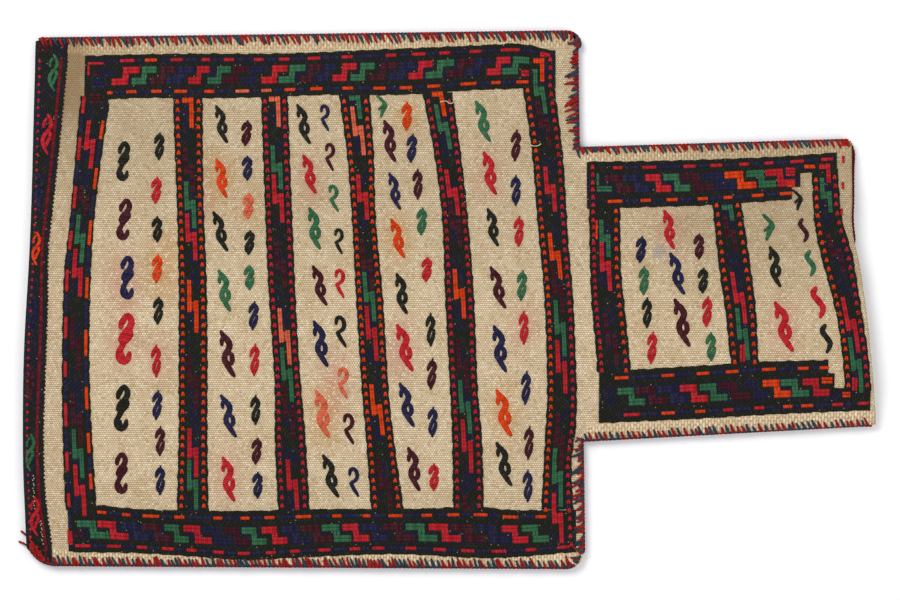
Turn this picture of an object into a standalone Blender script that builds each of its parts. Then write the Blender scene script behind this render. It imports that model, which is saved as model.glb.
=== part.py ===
"""A kilim salt bag lying on its back, as one folded cloth with two sewn sides.

The unit is the metre. +X runs from the folded bottom to the mouth, +Y across the bag and
+Z up, out of the patterned front. The cloth is drawn flat first, as it comes off the loom:
x is then the distance from the fold line, positive on the front wall and negative on the
back wall, and z is the height above the cloth's inner face. The pattern is raised on it,
and then the whole sheet is folded over into the bag.
"""

import math

import bmesh
import bpy
from mathutils import Vector

# The cut of the cloth
BODY_LENGTH = 0.392
BODY_WIDTH = 0.3735
BODY_TAPER = 0.0045
NECK_LENGTH = 0.198
NECK_WIDTH = 0.205
NECK_TAPER = 0.007
NECK_OFFSET = 0.0035
NECK_DRIFT = 0.0095
SHOULDER_SLANT = 0.005
MOUTH_SLANT = 0.017
BACK_LIP_EXTRA = 0.002
SHOULDER_EASE = 0.0028
LEFT_FOLD_EASE = 0.0012
RIGHT_FOLD_EASE = 0.0070
FOLD_BOW = (0.0060, 0.0009, 0.0012, 0.0052, 0.0082, 0.0096)

# The cloth and the room inside the bag
CLOTH_THICKNESS = 0.0025
SEAM_GAP = 0.0004
POUCH_DEPTH = 0.0125
NECK_DEPTH = 0.0095
FOLD_DEPTH = 0.0050
SIDE_ROLL = 0.075
NECK_ROLL = 0.048
MOUTH_REACH = 0.090

# The raised weft-wrapped bands
BAND_RAISE = 0.0009
SIDE_MARGIN = 0.0105
SHOULDER_MARGIN = 0.0125
NECK_MARGIN = 0.0100
MOUTH_MARGIN = 0.0095
CROSS_BAND = 0.0310
NECK_CROSS_BAND = 0.0335
STRIPE_WIDTH = 0.0218
LEFT_BAND = 0.0205
RIGHT_BAND = 0.0220
NECK_STRIPE_WIDTH = 0.0195
NECK_STRIPE_PLACE = 0.57
NECK_LOW_BAND = 0.0225
NECK_HIGH_BAND = 0.0215
FOLD_BAND = 0.0150
FOLD_BAND_EDGE = 0.0022
FOLD_BAND_GAP = 0.0012
FOLD_BAND_TURN = 0.0015
FOLD_BAND_MARGIN = 0.0078

# Where each upright band's middle lies, as shares of the body's length, at these shares of
# its half width. The cloth was pulled out of square, so the bands lean and bow.
BAND_HEIGHTS = (-0.78, -0.38, 0.0, 0.38, 0.76)
BORDER_BOTTOM_PLACES = (0.107, 0.098, 0.099, 0.113, 0.130)
STRIPE_PLACES = (
    (0.305, 0.306, 0.305, 0.301, 0.297),
    (0.486, 0.475, 0.466, 0.458, 0.451),
    (0.653, 0.633, 0.621, 0.608, 0.594),
    (0.797, 0.790, 0.781, 0.769, 0.742),
)
BORDER_TOP_PLACES = (0.956, 0.963, 0.958, 0.944, 0.925)

# Stepped figures along the bands: a bar, a short riser and a second bar
FIGURE_RAISE = 0.0005
CROSS_FIGURE = {"half_length": 0.0097, "half_height": 0.0068, "bar": 0.0054, "riser": 0.0015}
CROSS_PITCH = 0.0141
UPRIGHT_FIGURE = {"half_length": 0.0165, "half_height": 0.0043, "bar": 0.0039, "riser": 0.0035}
UPRIGHT_PITCH = 0.0262
FIGURE_END_ROOM = 0.0027
CROSS_COLOURS = ("red", "green", None, None)
UPRIGHT_COLOURS = ("orange", None, "green", "red", None)

# Hooked figures in the pale fields, as shares of their width and height
HOOK_RAISE = 0.0009
TAILED_WIDTH = 0.0085
TAILED_HEIGHT = 0.0290
TAILED_COUNT = 7
TAILED_SHAPE = (
    (-0.30, 0.50), (-0.46, 0.08), (-0.50, -0.10), (0.25, -0.50),
    (0.50, -0.42), (0.00, -0.12), (0.42, 0.00), (0.46, 0.24),
)
SHORT_WIDTH = 0.0080
SHORT_HEIGHT = 0.0200
SHORT_COUNT = 9
NECK_SHORT_PITCH = 0.0310
SHORT_SHAPE = (
    (0.12, 0.50), (-0.50, 0.14), (-0.14, -0.50),
    (0.50, -0.14), (0.12, -0.04), (0.50, 0.30),
)
FIELD_COLUMNS = (0.25, 0.75)
NECK_FIELD_COLUMNS = (0.20, 0.50, 0.82)
FIELD_COLOURS = ("black", "maroon", "navy", "red", "black", "green", "orange")

# Yarn stitched over the two sides
YARN = 0.0012
STITCH_CLEARANCE = 0.0003
STITCH_LEG = 0.0052
STITCH_SHORT_LEG = 0.0036
STITCH_THIN = 0.7
STITCH_STEP = 0.0130

# How finely the sheet is outlined, and scored before it is folded
SCORE_STEP = 0.037
ARC_SCORES = 4
CORNER_POINTS = 4
BODY_EDGE_POINTS = 12
SHOULDER_POINTS = 3
BAND_POINTS = 8
NECK_EDGE_POINTS = 6

EDGE_LIFT = YARN + STITCH_CLEARANCE
EDGE_FLAT = STITCH_LEG + 0.0010
EDGE_FALL = 0.0140
BAG_LENGTH = BODY_LENGTH + NECK_LENGTH

# The corners turn round the flat rim that the stitches clasp
SHOULDER_ROUND = EDGE_FLAT + SHOULDER_EASE
LEFT_FOLD_ROUND = EDGE_FLAT + LEFT_FOLD_EASE
RIGHT_FOLD_ROUND = EDGE_FLAT + RIGHT_FOLD_EASE
INNER = 0.0
OUTER = CLOTH_THICKNESS


def clear_scene():
    for thing in list(bpy.data.objects):
        bpy.data.objects.remove(thing, do_unlink=True)


def make_material(name, colour, roughness=0.9):
    """Wool has no metal and little gloss."""
    material = bpy.data.materials.new(name)
    material.use_nodes = True
    shader = material.node_tree.nodes["Principled BSDF"]
    shader.inputs["Base Color"].default_value = (*colour, 1.0)
    shader.inputs["Roughness"].default_value = roughness
    shader.inputs["Metallic"].default_value = 0.0
    material.diffuse_color = (*colour, 1.0)
    return material


def through(stations, values, place):
    """A smooth curve through values set at rising stations, held level past the ends."""
    last = len(stations) - 1
    if place <= stations[0]:
        return values[0]
    if place >= stations[last]:
        return values[last]
    i = max(k for k in range(last) if stations[k] <= place)
    before, after = max(i - 1, 0), min(i + 2, last)
    span = stations[i + 1] - stations[i]
    slope_a = (values[i + 1] - values[before]) / (stations[i + 1] - stations[before]) * span
    slope_b = (values[after] - values[i]) / (stations[after] - stations[i]) * span
    t = (place - stations[i]) / span
    rise = t * t * (3 - 2 * t)
    ease_a = t * (1 - t) ** 2
    ease_b = t * t * (t - 1)
    return values[i] + (values[i + 1] - values[i]) * rise + slope_a * ease_a + slope_b * ease_b


def between(low, high, share):
    return low + (high - low) * share


def round_drop(distance, radius):
    """How far a rounded corner has drawn in, at a distance from the corner's other edge."""
    left = radius - min(max(distance, 0.0), radius)
    return radius - math.sqrt(radius * radius - left * left)


def fold_round(side):
    return LEFT_FOLD_ROUND if side > 0 else RIGHT_FOLD_ROUND


def side_y(x, side):
    """The body's long edge at a distance x from the fold; side is +1 or -1."""
    half = 0.5 * (BODY_WIDTH - BODY_TAPER * (1 - min(max(x / BODY_LENGTH, 0.0), 1.0)))
    return side * (half - round_drop(x - fold_x(side * half), fold_round(side)))


def neck_y(x, side):
    """The neck's long edge, drawn out to the body's middle so that the room can flow in."""
    along = min(max((x - BODY_LENGTH) / NECK_LENGTH, 0.0), 1.0)
    return NECK_OFFSET + NECK_DRIFT * along + side * 0.5 * (NECK_WIDTH - NECK_TAPER * along)


def fold_x(y):
    """How far the fold line bows in, in plan, from its furthest point."""
    last = len(FOLD_BOW) - 1
    shares = [2 * k / last - 1 for k in range(last + 1)]
    return through(shares, FOLD_BOW, 2 * y / BODY_WIDTH)


def from_fold(x, y):
    """A distance in plan from the fold's furthest point, as a distance from the fold line."""
    return x - fold_x(y)


def shoulder_x(y):
    return BODY_LENGTH - SHOULDER_SLANT * y / BODY_WIDTH


def mouth_x(y):
    return BAG_LENGTH - MOUTH_SLANT * (y - NECK_OFFSET - NECK_DRIFT) / NECK_WIDTH


def roll(distance, reach):
    """Nought at a seam, rising round to one at the reach."""
    share = min(max(distance / reach, 0.0), 1.0)
    return math.sin(0.5 * math.pi * share)


def ease(share):
    share = min(max(share, 0.0), 1.0)
    return share * share * (3 - 2 * share)


def room(x, y):
    """The height of the free space between the two walls, at a place in plan."""
    reach = from_fold(x, y)
    fold_share = FOLD_DEPTH / POUCH_DEPTH
    body = roll(side_y(x, 1) - y, SIDE_ROLL) * roll(y - side_y(x, -1), SIDE_ROLL)
    body *= roll(shoulder_x(y) - x, SIDE_ROLL)
    body *= fold_share + (1 - fold_share) * roll(reach, SIDE_ROLL)
    neck = roll(neck_y(x, 1) - y, NECK_ROLL) * roll(y - neck_y(x, -1), NECK_ROLL)
    neck *= NECK_DEPTH / POUCH_DEPTH * ease((x - shoulder_x(y)) / MOUTH_REACH + 1)
    return SEAM_GAP + POUCH_DEPTH * (1 - (1 - body) * (1 - neck))


def seam_distance(x, y):
    """The distance to the nearest sewn edge, in plan."""
    across = min(side_y(x, 1) - y, y - side_y(x, -1))
    ahead = shoulder_x(y) - x
    if x < BODY_LENGTH - NECK_ROLL:
        return across
    body = min(across, ahead)
    if 0 < body < SHOULDER_ROUND and max(across, ahead) < SHOULDER_ROUND:
        body = SHOULDER_ROUND - math.hypot(SHOULDER_ROUND - across, SHOULDER_ROUND - ahead)
    return max(body, min(neck_y(x, 1) - y, y - neck_y(x, -1)))


def lift(x, y):
    """The yarn stitched round the edges holds them this far off what the bag lies on."""
    return EDGE_LIFT * (1 - ease((seam_distance(x, y) - EDGE_FLAT) / EDGE_FALL))


def front_top(x, y):
    return lift(x, y) + 2 * CLOTH_THICKNESS + room(x, y)


def folded(flat):
    """A point of the flat sheet, carried to its place on the folded bag."""
    reach, y, height = flat
    gap = room(fold_x(y) + abs(reach), y)
    base = lift(fold_x(y) + abs(reach), y)
    turn = 0.5 * gap + CLOTH_THICKNESS
    if abs(reach) >= turn:
        inner = base + CLOTH_THICKNESS
        z = inner + gap + height if reach > 0 else inner - height
        return Vector((fold_x(y) + abs(reach), y, z))
    angle = 0.5 * math.pi * reach / turn
    radius = 0.5 * gap + height
    middle = base + CLOTH_THICKNESS + 0.5 * gap
    return Vector((fold_x(y) + turn - radius * math.cos(angle), y, middle + radius * math.sin(angle)))


def arc(centre, radius, start, end, steps):
    return [
        (
            centre[0] + radius * math.cos(between(start, end, k / steps)),
            centre[1] + radius * math.sin(between(start, end, k / steps)),
        )
        for k in range(steps + 1)
    ]


def side_path(side):
    """One sewn side of the front wall in plan, from the fold to the mouth."""
    quarter = 0.5 * math.pi
    radius = fold_round(side)
    half = abs(side_y(BODY_LENGTH / BODY_EDGE_POINTS, side))
    start = (fold_x(side * half) + radius, side * (half - radius))
    path = arc(start, radius, 2 * quarter, (2 - side) * quarter, CORNER_POINTS)
    corner = (shoulder_x(side_y(BODY_LENGTH, side)), side_y(BODY_LENGTH, side))
    turn = (corner[0] - SHOULDER_ROUND, corner[1] - side * SHOULDER_ROUND)
    for k in range(1, BODY_EDGE_POINTS):
        x = between(start[0], turn[0], k / BODY_EDGE_POINTS)
        path.append((x, side_y(x, side)))
    path += arc(turn, SHOULDER_ROUND, side * quarter, 0.0, CORNER_POINTS)
    root = neck_y(BODY_LENGTH, side)
    for k in range(1, SHOULDER_POINTS + 1):
        y = between(turn[1], root, k / SHOULDER_POINTS)
        path.append((shoulder_x(y), y))
    mouth = mouth_x(neck_y(BAG_LENGTH, side))
    for k in range(1, NECK_EDGE_POINTS + 1):
        x = between(shoulder_x(root), mouth, k / NECK_EDGE_POINTS)
        path.append((x, neck_y(x, side)))
    return path


def sheet_outline():
    """The flat sheet: both walls' outlines, which share their points on the fold line."""
    walls = []
    for side in (1, -1):
        points = [(from_fold(x, y), y) for x, y in side_path(side)]
        points[0] = (0.0, points[0][1])
        walls.append(points)
    upper, lower = walls
    front = lower + upper[::-1]
    back = [(-x, y) for x, y in upper[1:] + lower[:0:-1]]
    lip = len(upper) - 2
    for k in (lip, lip + 1):
        back[k] = (back[k][0] - BACK_LIP_EXTRA, back[k][1])
    return front + back


def prism(name, outlines, low, high, material):
    """Closed outlines on the flat sheet, each drawn up from one height to another."""
    bm = bmesh.new()
    for outline in outlines:
        points = [bm.verts.new((x, y, low)) for x, y in outline]
        face = bm.faces.new(points)
        face.normal_update()
        if face.normal.z > 0:
            face.normal_flip()
        raised = bmesh.ops.extrude_face_region(bm, geom=[face], use_keep_orig=True)
        tops = [item for item in raised["geom"] if isinstance(item, bmesh.types.BMVert)]
        bmesh.ops.translate(bm, verts=tops, vec=(0, 0, high - low))
    bmesh.ops.recalc_face_normals(bm, faces=bm.faces)
    mesh = bpy.data.meshes.new(name)
    bm.to_mesh(mesh)
    bm.free()
    mesh.materials.append(material)
    piece = bpy.data.objects.new(name, mesh)
    bpy.context.scene.collection.objects.link(piece)
    return piece


def combine(target, tool, operation):
    """Join or cut one solid with another and keep the result as a plain mesh."""
    step = target.modifiers.new(tool.name, "BOOLEAN")
    step.operation = operation
    step.object = tool
    step.solver = "EXACT"
    step.material_mode = "TRANSFER"
    bpy.context.view_layer.update()
    graph = bpy.context.evaluated_depsgraph_get()
    result = bpy.data.meshes.new_from_object(target.evaluated_get(graph))
    target.modifiers.clear()
    target.data = result
    bpy.data.objects.remove(tool, do_unlink=True)


def band_x(places, y):
    """Where an upright band of the body has its middle, as a distance from the fold line."""
    return from_fold(BODY_LENGTH * through(BAND_HEIGHTS, places, 2 * y / BODY_WIDTH), y)


def upright_edge(places, offset, inset):
    """One long edge of an upright band, from the right side of the bag to the left."""
    ends = []
    for side in (-1, 1):
        x = BODY_LENGTH * places[0 if side < 0 else -1]
        ends.append(side_y(x, side) - side * inset)
    rows = [between(ends[0], ends[1], k / BAND_POINTS) for k in range(BAND_POINTS + 1)]
    return [(band_x(places, y) + offset, y) for y in rows]


def body_windows():
    """The five pale fields of the body, between the raised bands."""
    places = (BORDER_BOTTOM_PLACES, *STRIPE_PLACES, BORDER_TOP_PLACES)
    widths = (LEFT_BAND, *[STRIPE_WIDTH] * len(STRIPE_PLACES), RIGHT_BAND)
    inset = SIDE_MARGIN + CROSS_BAND
    windows = []
    for k in range(len(places) - 1):
        near = upright_edge(places[k], 0.5 * widths[k], inset)
        far = upright_edge(places[k + 1], -0.5 * widths[k + 1], inset)
        windows.append(far + near[::-1])
    return windows


def body_frame():
    """The outer edge of the body's dark frame."""
    near = upright_edge(BORDER_BOTTOM_PLACES, -0.5 * LEFT_BAND, SIDE_MARGIN)
    far = upright_edge(BORDER_TOP_PLACES, 0.5 * RIGHT_BAND, SIDE_MARGIN)
    return far + near[::-1]


def neck_place(distance, side, inset):
    """A place on the neck: how far along from the shoulder, and how far in from one side."""
    along = distance / NECK_LENGTH
    x = between(BODY_LENGTH, BAG_LENGTH, along)
    y = neck_y(x, side) - side * inset
    slant = between(shoulder_x(y) - BODY_LENGTH, mouth_x(y) - BAG_LENGTH, along)
    return from_fold(x + slant, y), y


def neck_quad(low, high, inset):
    """A four-sided patch across the neck, between two distances from the shoulder."""
    corners = ((high, -1), (high, 1), (low, 1), (low, -1))
    return [neck_place(distance, side, inset) for distance, side in corners]


def neck_band_middles():
    """How far the middles of the neck's three upright bands lie from the shoulder."""
    low = SHOULDER_MARGIN + 0.5 * NECK_LOW_BAND
    high = NECK_LENGTH - MOUTH_MARGIN - 0.5 * NECK_HIGH_BAND
    return low, between(low, high, NECK_STRIPE_PLACE), high


def neck_windows():
    """The two pale fields of the neck."""
    low, middle, high = neck_band_middles()
    inset = NECK_MARGIN + NECK_CROSS_BAND
    return [
        neck_quad(low + 0.5 * NECK_LOW_BAND, middle - 0.5 * NECK_STRIPE_WIDTH, inset),
        neck_quad(middle + 0.5 * NECK_STRIPE_WIDTH, high - 0.5 * NECK_HIGH_BAND, inset),
    ]


def fold_band():
    """The dark band that wraps round the fold, and the raised edge beside it."""
    half = 0.5 * (BODY_WIDTH - BODY_TAPER) - FOLD_BAND_MARGIN
    start = -FOLD_BAND_TURN
    band = [(start, -half), (FOLD_BAND, -half), (FOLD_BAND, half), (start, half)]
    low = FOLD_BAND + FOLD_BAND_GAP
    high = low + FOLD_BAND_EDGE
    edge = [(low, -half), (high, -half), (high, half), (low, half)]
    return [band, edge]


def make_bands(material):
    """Every weft-wrapped band, as one raised net with the pale fields cut out of it."""
    floor = 0.5 * CLOTH_THICKNESS
    top = OUTER + BAND_RAISE
    neck_frame = neck_quad(SHOULDER_MARGIN, NECK_LENGTH - MOUTH_MARGIN, NECK_MARGIN)
    bands = prism("bands", [body_frame(), neck_frame, *fold_band()], floor, top, material)
    fields = prism("fields", body_windows() + neck_windows(), INNER, 2 * top, material)
    combine(bands, fields, "DIFFERENCE")
    return bands


def stepped(shape, slope):
    """The eight corners of a stepped figure; slope is +1 where it climbs along the band."""
    length, height = shape["half_length"], shape["half_height"]
    riser, bar = shape["riser"], shape["bar"]
    corners = (
        (-length, -height), (riser, -height), (riser, height - bar), (length, height - bar),
        (length, height), (-riser, height), (-riser, bar - height), (-length, bar - height),
    )
    return [(slope * along, across) for along, across in corners]


def figure_places(length, pitch, reach):
    """Even places along a run, each far enough from its ends for a figure of that reach."""
    count = int((length - 2 * reach) / pitch) + 1
    first = 0.5 * (length - (count - 1) * pitch)
    return [first + k * pitch for k in range(count)]


def figures_along(low, high, pitch, shape, slope, colours):
    """Stepped figures in a straight row, each with its colour; a missing colour is a gap."""
    found = []
    reach = shape["half_length"] + FIGURE_END_ROOM
    for k, place in enumerate(figure_places(high - low, pitch, reach)):
        outline = [(low + place + along, across) for along, across in stepped(shape, slope)]
        found.append((colours[k % len(colours)], outline))
    return found


def cross_figures(low_x, high_x, middle, slope):
    """Stepped figures down a band that runs along the bag; middle gives its y at an x."""
    row = figures_along(low_x, high_x, CROSS_PITCH, CROSS_FIGURE, slope, CROSS_COLOURS)
    return [(colour, [(x, middle(x) + rise) for x, rise in outline]) for colour, outline in row]


def upright_figures(low_y, high_y, middle, turn):
    """Stepped figures up a band that runs across the bag; middle gives its x at a y."""
    colours = UPRIGHT_COLOURS[turn:] + UPRIGHT_COLOURS[:turn]
    row = figures_along(low_y, high_y, UPRIGHT_PITCH, UPRIGHT_FIGURE, -1, colours)
    return [(colour, [(middle(y) - rise, y) for y, rise in outline]) for colour, outline in row]


def body_band_figures():
    """The stepped figures in the body's two long bands and its six upright ones."""
    inset = SIDE_MARGIN + 0.5 * CROSS_BAND
    low_x = BODY_LENGTH * BORDER_BOTTOM_PLACES[2]
    high_x = BODY_LENGTH * BORDER_TOP_PLACES[2]
    found = []
    for side in (-1, 1):
        def middle(x):
            return side_y(x, side) - side * inset

        found += cross_figures(low_x, high_x, middle, side)
    low_y, high_y = (
        side_y(BODY_LENGTH, side) - side * (SIDE_MARGIN + CROSS_BAND) for side in (-1, 1)
    )
    for k, places in enumerate((BORDER_BOTTOM_PLACES, *STRIPE_PLACES, BORDER_TOP_PLACES)):
        def line(y):
            return band_x(places, y)

        found += upright_figures(low_y, high_y, line, k % len(UPRIGHT_COLOURS))
    return found


def neck_band_figures():
    """The stepped figures in the neck's two long bands and its three upright ones."""
    distances = neck_band_middles()
    inset = NECK_MARGIN + 0.5 * NECK_CROSS_BAND
    found = []
    for side in (-1, 1):
        def middle(x):
            return neck_y(x, side) - side * inset

        ends = [neck_place(distance, side, inset)[0] for distance in distances[::2]]
        found += cross_figures(*ends, middle, -1)
    for k, distance in enumerate(distances):
        low, high = (neck_place(distance, side, NECK_MARGIN + NECK_CROSS_BAND) for side in (-1, 1))

        def line(y):
            return between(low[0], high[0], (y - low[1]) / (high[1] - low[1]))

        found += upright_figures(low[1], high[1], line, k + 1)
    return found


def hooked(shape, width, height, count, window, share):
    """A column of hooked figures down a field, at a share of the way across it."""
    right, left = window[:len(window) // 2], window[len(window) // 2:][::-1]
    low, high = right[0][1], right[-1][1]
    found = []
    for k in range(count):
        y = between(low, high, (k + 0.5) / count)
        run = (y - low) / (high - low) * (len(right) - 1)
        i = min(int(run), len(right) - 2)
        near = between(left[i][0], left[i + 1][0], run - i)
        far = between(right[i][0], right[i + 1][0], run - i)
        x = between(near, far, share)
        found.append([(x + width * across, y + height * along) for across, along in shape])
    return found


def field_figures():
    """The hooked figures of every pale field, each column in its own run of colours."""
    tailed = (TAILED_SHAPE, TAILED_WIDTH, TAILED_HEIGHT)
    short = (SHORT_SHAPE, SHORT_WIDTH, SHORT_HEIGHT)
    found = []
    for k, window in enumerate(body_windows()):
        column = hooked(*tailed, TAILED_COUNT, window, FIELD_COLUMNS[0])
        column += hooked(*short, SHORT_COUNT, window, FIELD_COLUMNS[1])
        for n, outline in enumerate(column):
            found.append((FIELD_COLOURS[(n + 2 * k) % len(FIELD_COLOURS)], outline))
    for k, window in enumerate(neck_windows()):
        count = int((window[1][1] - window[0][1]) / NECK_SHORT_PITCH)
        for turn, share in enumerate(NECK_FIELD_COLUMNS, k):
            for n, outline in enumerate(hooked(*short, count, window, share)):
                found.append((FIELD_COLOURS[(n + turn) % len(FIELD_COLOURS)], outline))
    return found


def weave_in(cloth, figures, low, high, colours):
    """Raise the figures on the cloth, in one union for each colour that they have."""
    for name, material in colours.items():
        outlines = [outline for colour, outline in figures if colour == name]
        if outlines:
            combine(cloth, prism(name, outlines, low, high, material), "UNION")


def score(bm, places, direction, chosen):
    """Cut the chosen faces of the sheet across at each place, so that they can bend there."""
    for place in places:
        faces = [face for face in bm.faces if chosen(face)]
        edges = {edge for face in faces for edge in face.edges}
        points = {point for face in faces for point in face.verts}
        bmesh.ops.bisect_plane(
            bm, geom=[*points, *edges, *faces], dist=1e-6,
            plane_co=[place * d for d in direction], plane_no=direction,
        )


def even_places(low, high, step):
    count = round((high - low) / step)
    return [between(low, high, k / count) for k in range(1, count)]


def score_everywhere(bm, plain):
    """The scores that both walls need: round the fold, along the rims and a few between."""
    turn = 0.5 * FOLD_DEPTH + CLOTH_THICKNESS
    along = [turn * k / ARC_SCORES for k in range(-ARC_SCORES, ARC_SCORES + 1)]
    across = []
    for side in (-1, 1):
        root = neck_y(BODY_LENGTH, side)
        rim = side_y(BODY_LENGTH, side)
        shoulder = from_fold(shoulder_x(root), root)
        across += [root, root - side * EDGE_FLAT, rim - side * (EDGE_FLAT + EDGE_FALL)]
        along += [wall * (shoulder - inset) for wall in (-1, 1) for inset in (0.0, EDGE_FLAT)]
    along += even_places(-BAG_LENGTH, BAG_LENGTH, 2 * SCORE_STEP)
    across += even_places(-0.5 * BODY_WIDTH, 0.5 * BODY_WIDTH, 2 * SCORE_STEP)
    score(bm, sorted(along), (1, 0, 0), lambda face: face.material_index in plain)
    score(bm, sorted(across), (0, 1, 0), lambda face: face.material_index in plain)


def score_front(bm, plain):
    """Closer scores on the patterned side, which is seen to bend; small figures stay whole."""
    def patterned(face):
        front = face.normal.z > 0.5 and face.calc_center_median().x > 0
        return front and face.material_index in plain

    score(bm, even_places(0.0, BAG_LENGTH, SCORE_STEP), (1, 0, 0), patterned)
    score(bm, even_places(-0.5 * BODY_WIDTH, 0.5 * BODY_WIDTH, SCORE_STEP), (0, 1, 0), patterned)


def make_cloth(ground, wrapped, dyed):
    """The folded cloth: the ground sheet with its bands, scored and then folded over."""
    cloth = prism("bag_cloth", [sheet_outline()], INNER, OUTER, ground)
    bm = bmesh.new()
    bm.from_mesh(cloth.data)
    walls = [face for face in bm.faces if abs(face.normal.z) > 0.5]
    bmesh.ops.inset_individual(bm, faces=walls, thickness=EDGE_FLAT, use_even_offset=True)
    bm.to_mesh(cloth.data)
    bm.free()
    combine(cloth, make_bands(wrapped), "UNION")
    weave_in(cloth, field_figures(), 0.5 * CLOTH_THICKNESS, OUTER + HOOK_RAISE, dyed)
    figure_floor = OUTER + 0.5 * BAND_RAISE
    figure_top = OUTER + BAND_RAISE + FIGURE_RAISE
    stepped_figures = body_band_figures() + neck_band_figures()
    weave_in(cloth, stepped_figures, figure_floor, figure_top, dyed)
    bm = bmesh.new()
    bm.from_mesh(cloth.data)
    plain = [cloth.data.materials.find(material.name) for material in (ground, wrapped)]
    score_everywhere(bm, plain)
    score_front(bm, plain)
    bmesh.ops.triangulate(bm, faces=bm.faces)
    for point in bm.verts:
        point.co = folded(point.co)
    bm.to_mesh(cloth.data)
    bm.free()
    return cloth


def stitch_stations(path, step):
    """Even places on every run of a path, each with its mean heading and mitre."""
    spots = [path[0]]
    for a, b in zip(path, path[1:]):
        count = max(round(math.dist(a, b) / step), 1)
        spots += [[between(a[n], b[n], k / count) for n in (0, 1)] for k in range(1, count + 1)]
    found = []
    for k, spot in enumerate(spots):
        ahead = spots[min(k + 1, len(spots) - 1)]
        behind = spots[max(k - 1, 0)]
        first = Vector(spot) - Vector(behind) if k else Vector(ahead) - Vector(spot)
        second = Vector(ahead) - Vector(spot) if spot is not ahead else first
        heading = (first.normalized() + second.normalized()).normalized()
        found.append((spot, heading, 1 / heading.dot(second.normalized())))
    return found


def stitch_ring(spot, heading, mitre, side, leg, yarn):
    """One closed section of the stitching, a C that clasps both walls at their edge."""
    def place(distance, clear, wall):
        x = spot[0] - side * heading[1] * distance * mitre
        y = spot[1] + side * heading[0] * distance * mitre
        z = front_top(x, y) + clear if wall > 0 else lift(x, y) - clear
        return Vector((x, y, z))

    gap = STITCH_CLEARANCE
    out = STITCH_CLEARANCE + yarn
    back = [place(gap, gap, -1), place(-leg, gap, -1), place(-leg, out, -1), place(out, gap, -1)]
    front = [place(gap, gap, 1), place(-leg, gap, 1), place(-leg, out, 1)]
    return [*front, place(0.0, out, 1), place(out, gap, 1), back[3], place(0.0, out, -1), *back[2::-1]]


def make_stitching(name, side, material):
    """Overcast yarn down one side: the C section carried along the edge, leg by leg."""
    stations = stitch_stations(side_path(side)[CORNER_POINTS:], STITCH_STEP)
    bm = bmesh.new()
    rings = []
    for k, (spot, heading, mitre) in enumerate(stations):
        leg = STITCH_LEG if k % 2 else STITCH_SHORT_LEG
        yarn = YARN if k % 2 else STITCH_THIN * YARN
        ring = stitch_ring(spot, heading, mitre, side, leg, yarn)
        rings.append([bm.verts.new(point) for point in ring])
    for a, b in zip(rings, rings[1:]):
        for i in range(len(a)):
            j = (i + 1) % len(a)
            bm.faces.new((a[i], a[j], b[j], b[i]))
    bm.faces.new(rings[0][::-1])
    bm.faces.new(rings[-1])
    bmesh.ops.recalc_face_normals(bm, faces=bm.faces)
    bmesh.ops.triangulate(bm, faces=bm.faces)
    mesh = bpy.data.meshes.new(name)
    bm.to_mesh(mesh)
    bm.free()
    mesh.materials.append(material)
    piece = bpy.data.objects.new(name, mesh)
    bpy.context.scene.collection.objects.link(piece)
    return piece


def centre_on_floor(pieces):
    """Set the bag's box over the origin, with its underside at height nought."""
    spots = [piece.matrix_world @ point.co for piece in pieces for point in piece.data.vertices]
    low = Vector([min(spot[n] for spot in spots) for n in range(3)])
    high = Vector([max(spot[n] for spot in spots) for n in range(3)])
    shift = Vector((-0.5 * (low.x + high.x), -0.5 * (low.y + high.y), -low.z))
    for piece in pieces:
        for point in piece.data.vertices:
            point.co += shift


def main():
    clear_scene()
    ground = make_material("cream_wool", (0.68, 0.56, 0.35))
    wrapped = make_material("dark_wool", (0.020, 0.018, 0.020))
    stitches = make_material("red_wool", (0.30, 0.02, 0.02))
    dyed = {
        "red": make_material("figure_red", (0.56, 0.03, 0.04)),
        "maroon": make_material("figure_maroon", (0.09, 0.01, 0.02)),
        "navy": make_material("figure_navy", (0.016, 0.014, 0.06)),
        "black": make_material("figure_black", (0.018, 0.018, 0.015)),
        "green": make_material("figure_green", (0.03, 0.22, 0.10)),
        "orange": make_material("figure_orange", (0.80, 0.08, 0.01)),
    }
    cloth = make_cloth(ground, wrapped, dyed)
    left = make_stitching("left_side_stitching", 1, stitches)
    right = make_stitching("right_side_stitching", -1, stitches)
    centre_on_floor([cloth, left, right])


main()
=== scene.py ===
"""The dressed look of a kilim salt bag that lies on its back, seen from straight above.

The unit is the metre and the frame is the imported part's: +X runs from the folded bottom to
the mouth, +Y across the bag and +Z up out of the patterned front. The bag is one cloth,
folded over at the bottom and stitched down both sides. Everything on it is placed by its X
and Y and laid on the cloth's own height, so that bands, figures and yarn follow its swell.
Tables of places are in millimetres in the same frame.
"""
import math

import bpy
import numpy as np
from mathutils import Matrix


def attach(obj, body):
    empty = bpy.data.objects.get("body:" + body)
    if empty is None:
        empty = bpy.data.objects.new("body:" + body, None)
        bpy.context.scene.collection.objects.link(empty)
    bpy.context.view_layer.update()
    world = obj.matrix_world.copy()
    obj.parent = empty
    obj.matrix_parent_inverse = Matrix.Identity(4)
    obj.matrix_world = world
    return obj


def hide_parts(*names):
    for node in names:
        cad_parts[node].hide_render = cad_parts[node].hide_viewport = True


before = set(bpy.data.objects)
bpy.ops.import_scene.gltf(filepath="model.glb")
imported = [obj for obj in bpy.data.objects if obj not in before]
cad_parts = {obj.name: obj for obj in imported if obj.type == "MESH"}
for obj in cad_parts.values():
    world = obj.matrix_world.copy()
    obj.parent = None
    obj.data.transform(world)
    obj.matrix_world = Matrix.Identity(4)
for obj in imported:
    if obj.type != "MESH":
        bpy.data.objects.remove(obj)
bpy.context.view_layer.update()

MM = 0.001

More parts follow.
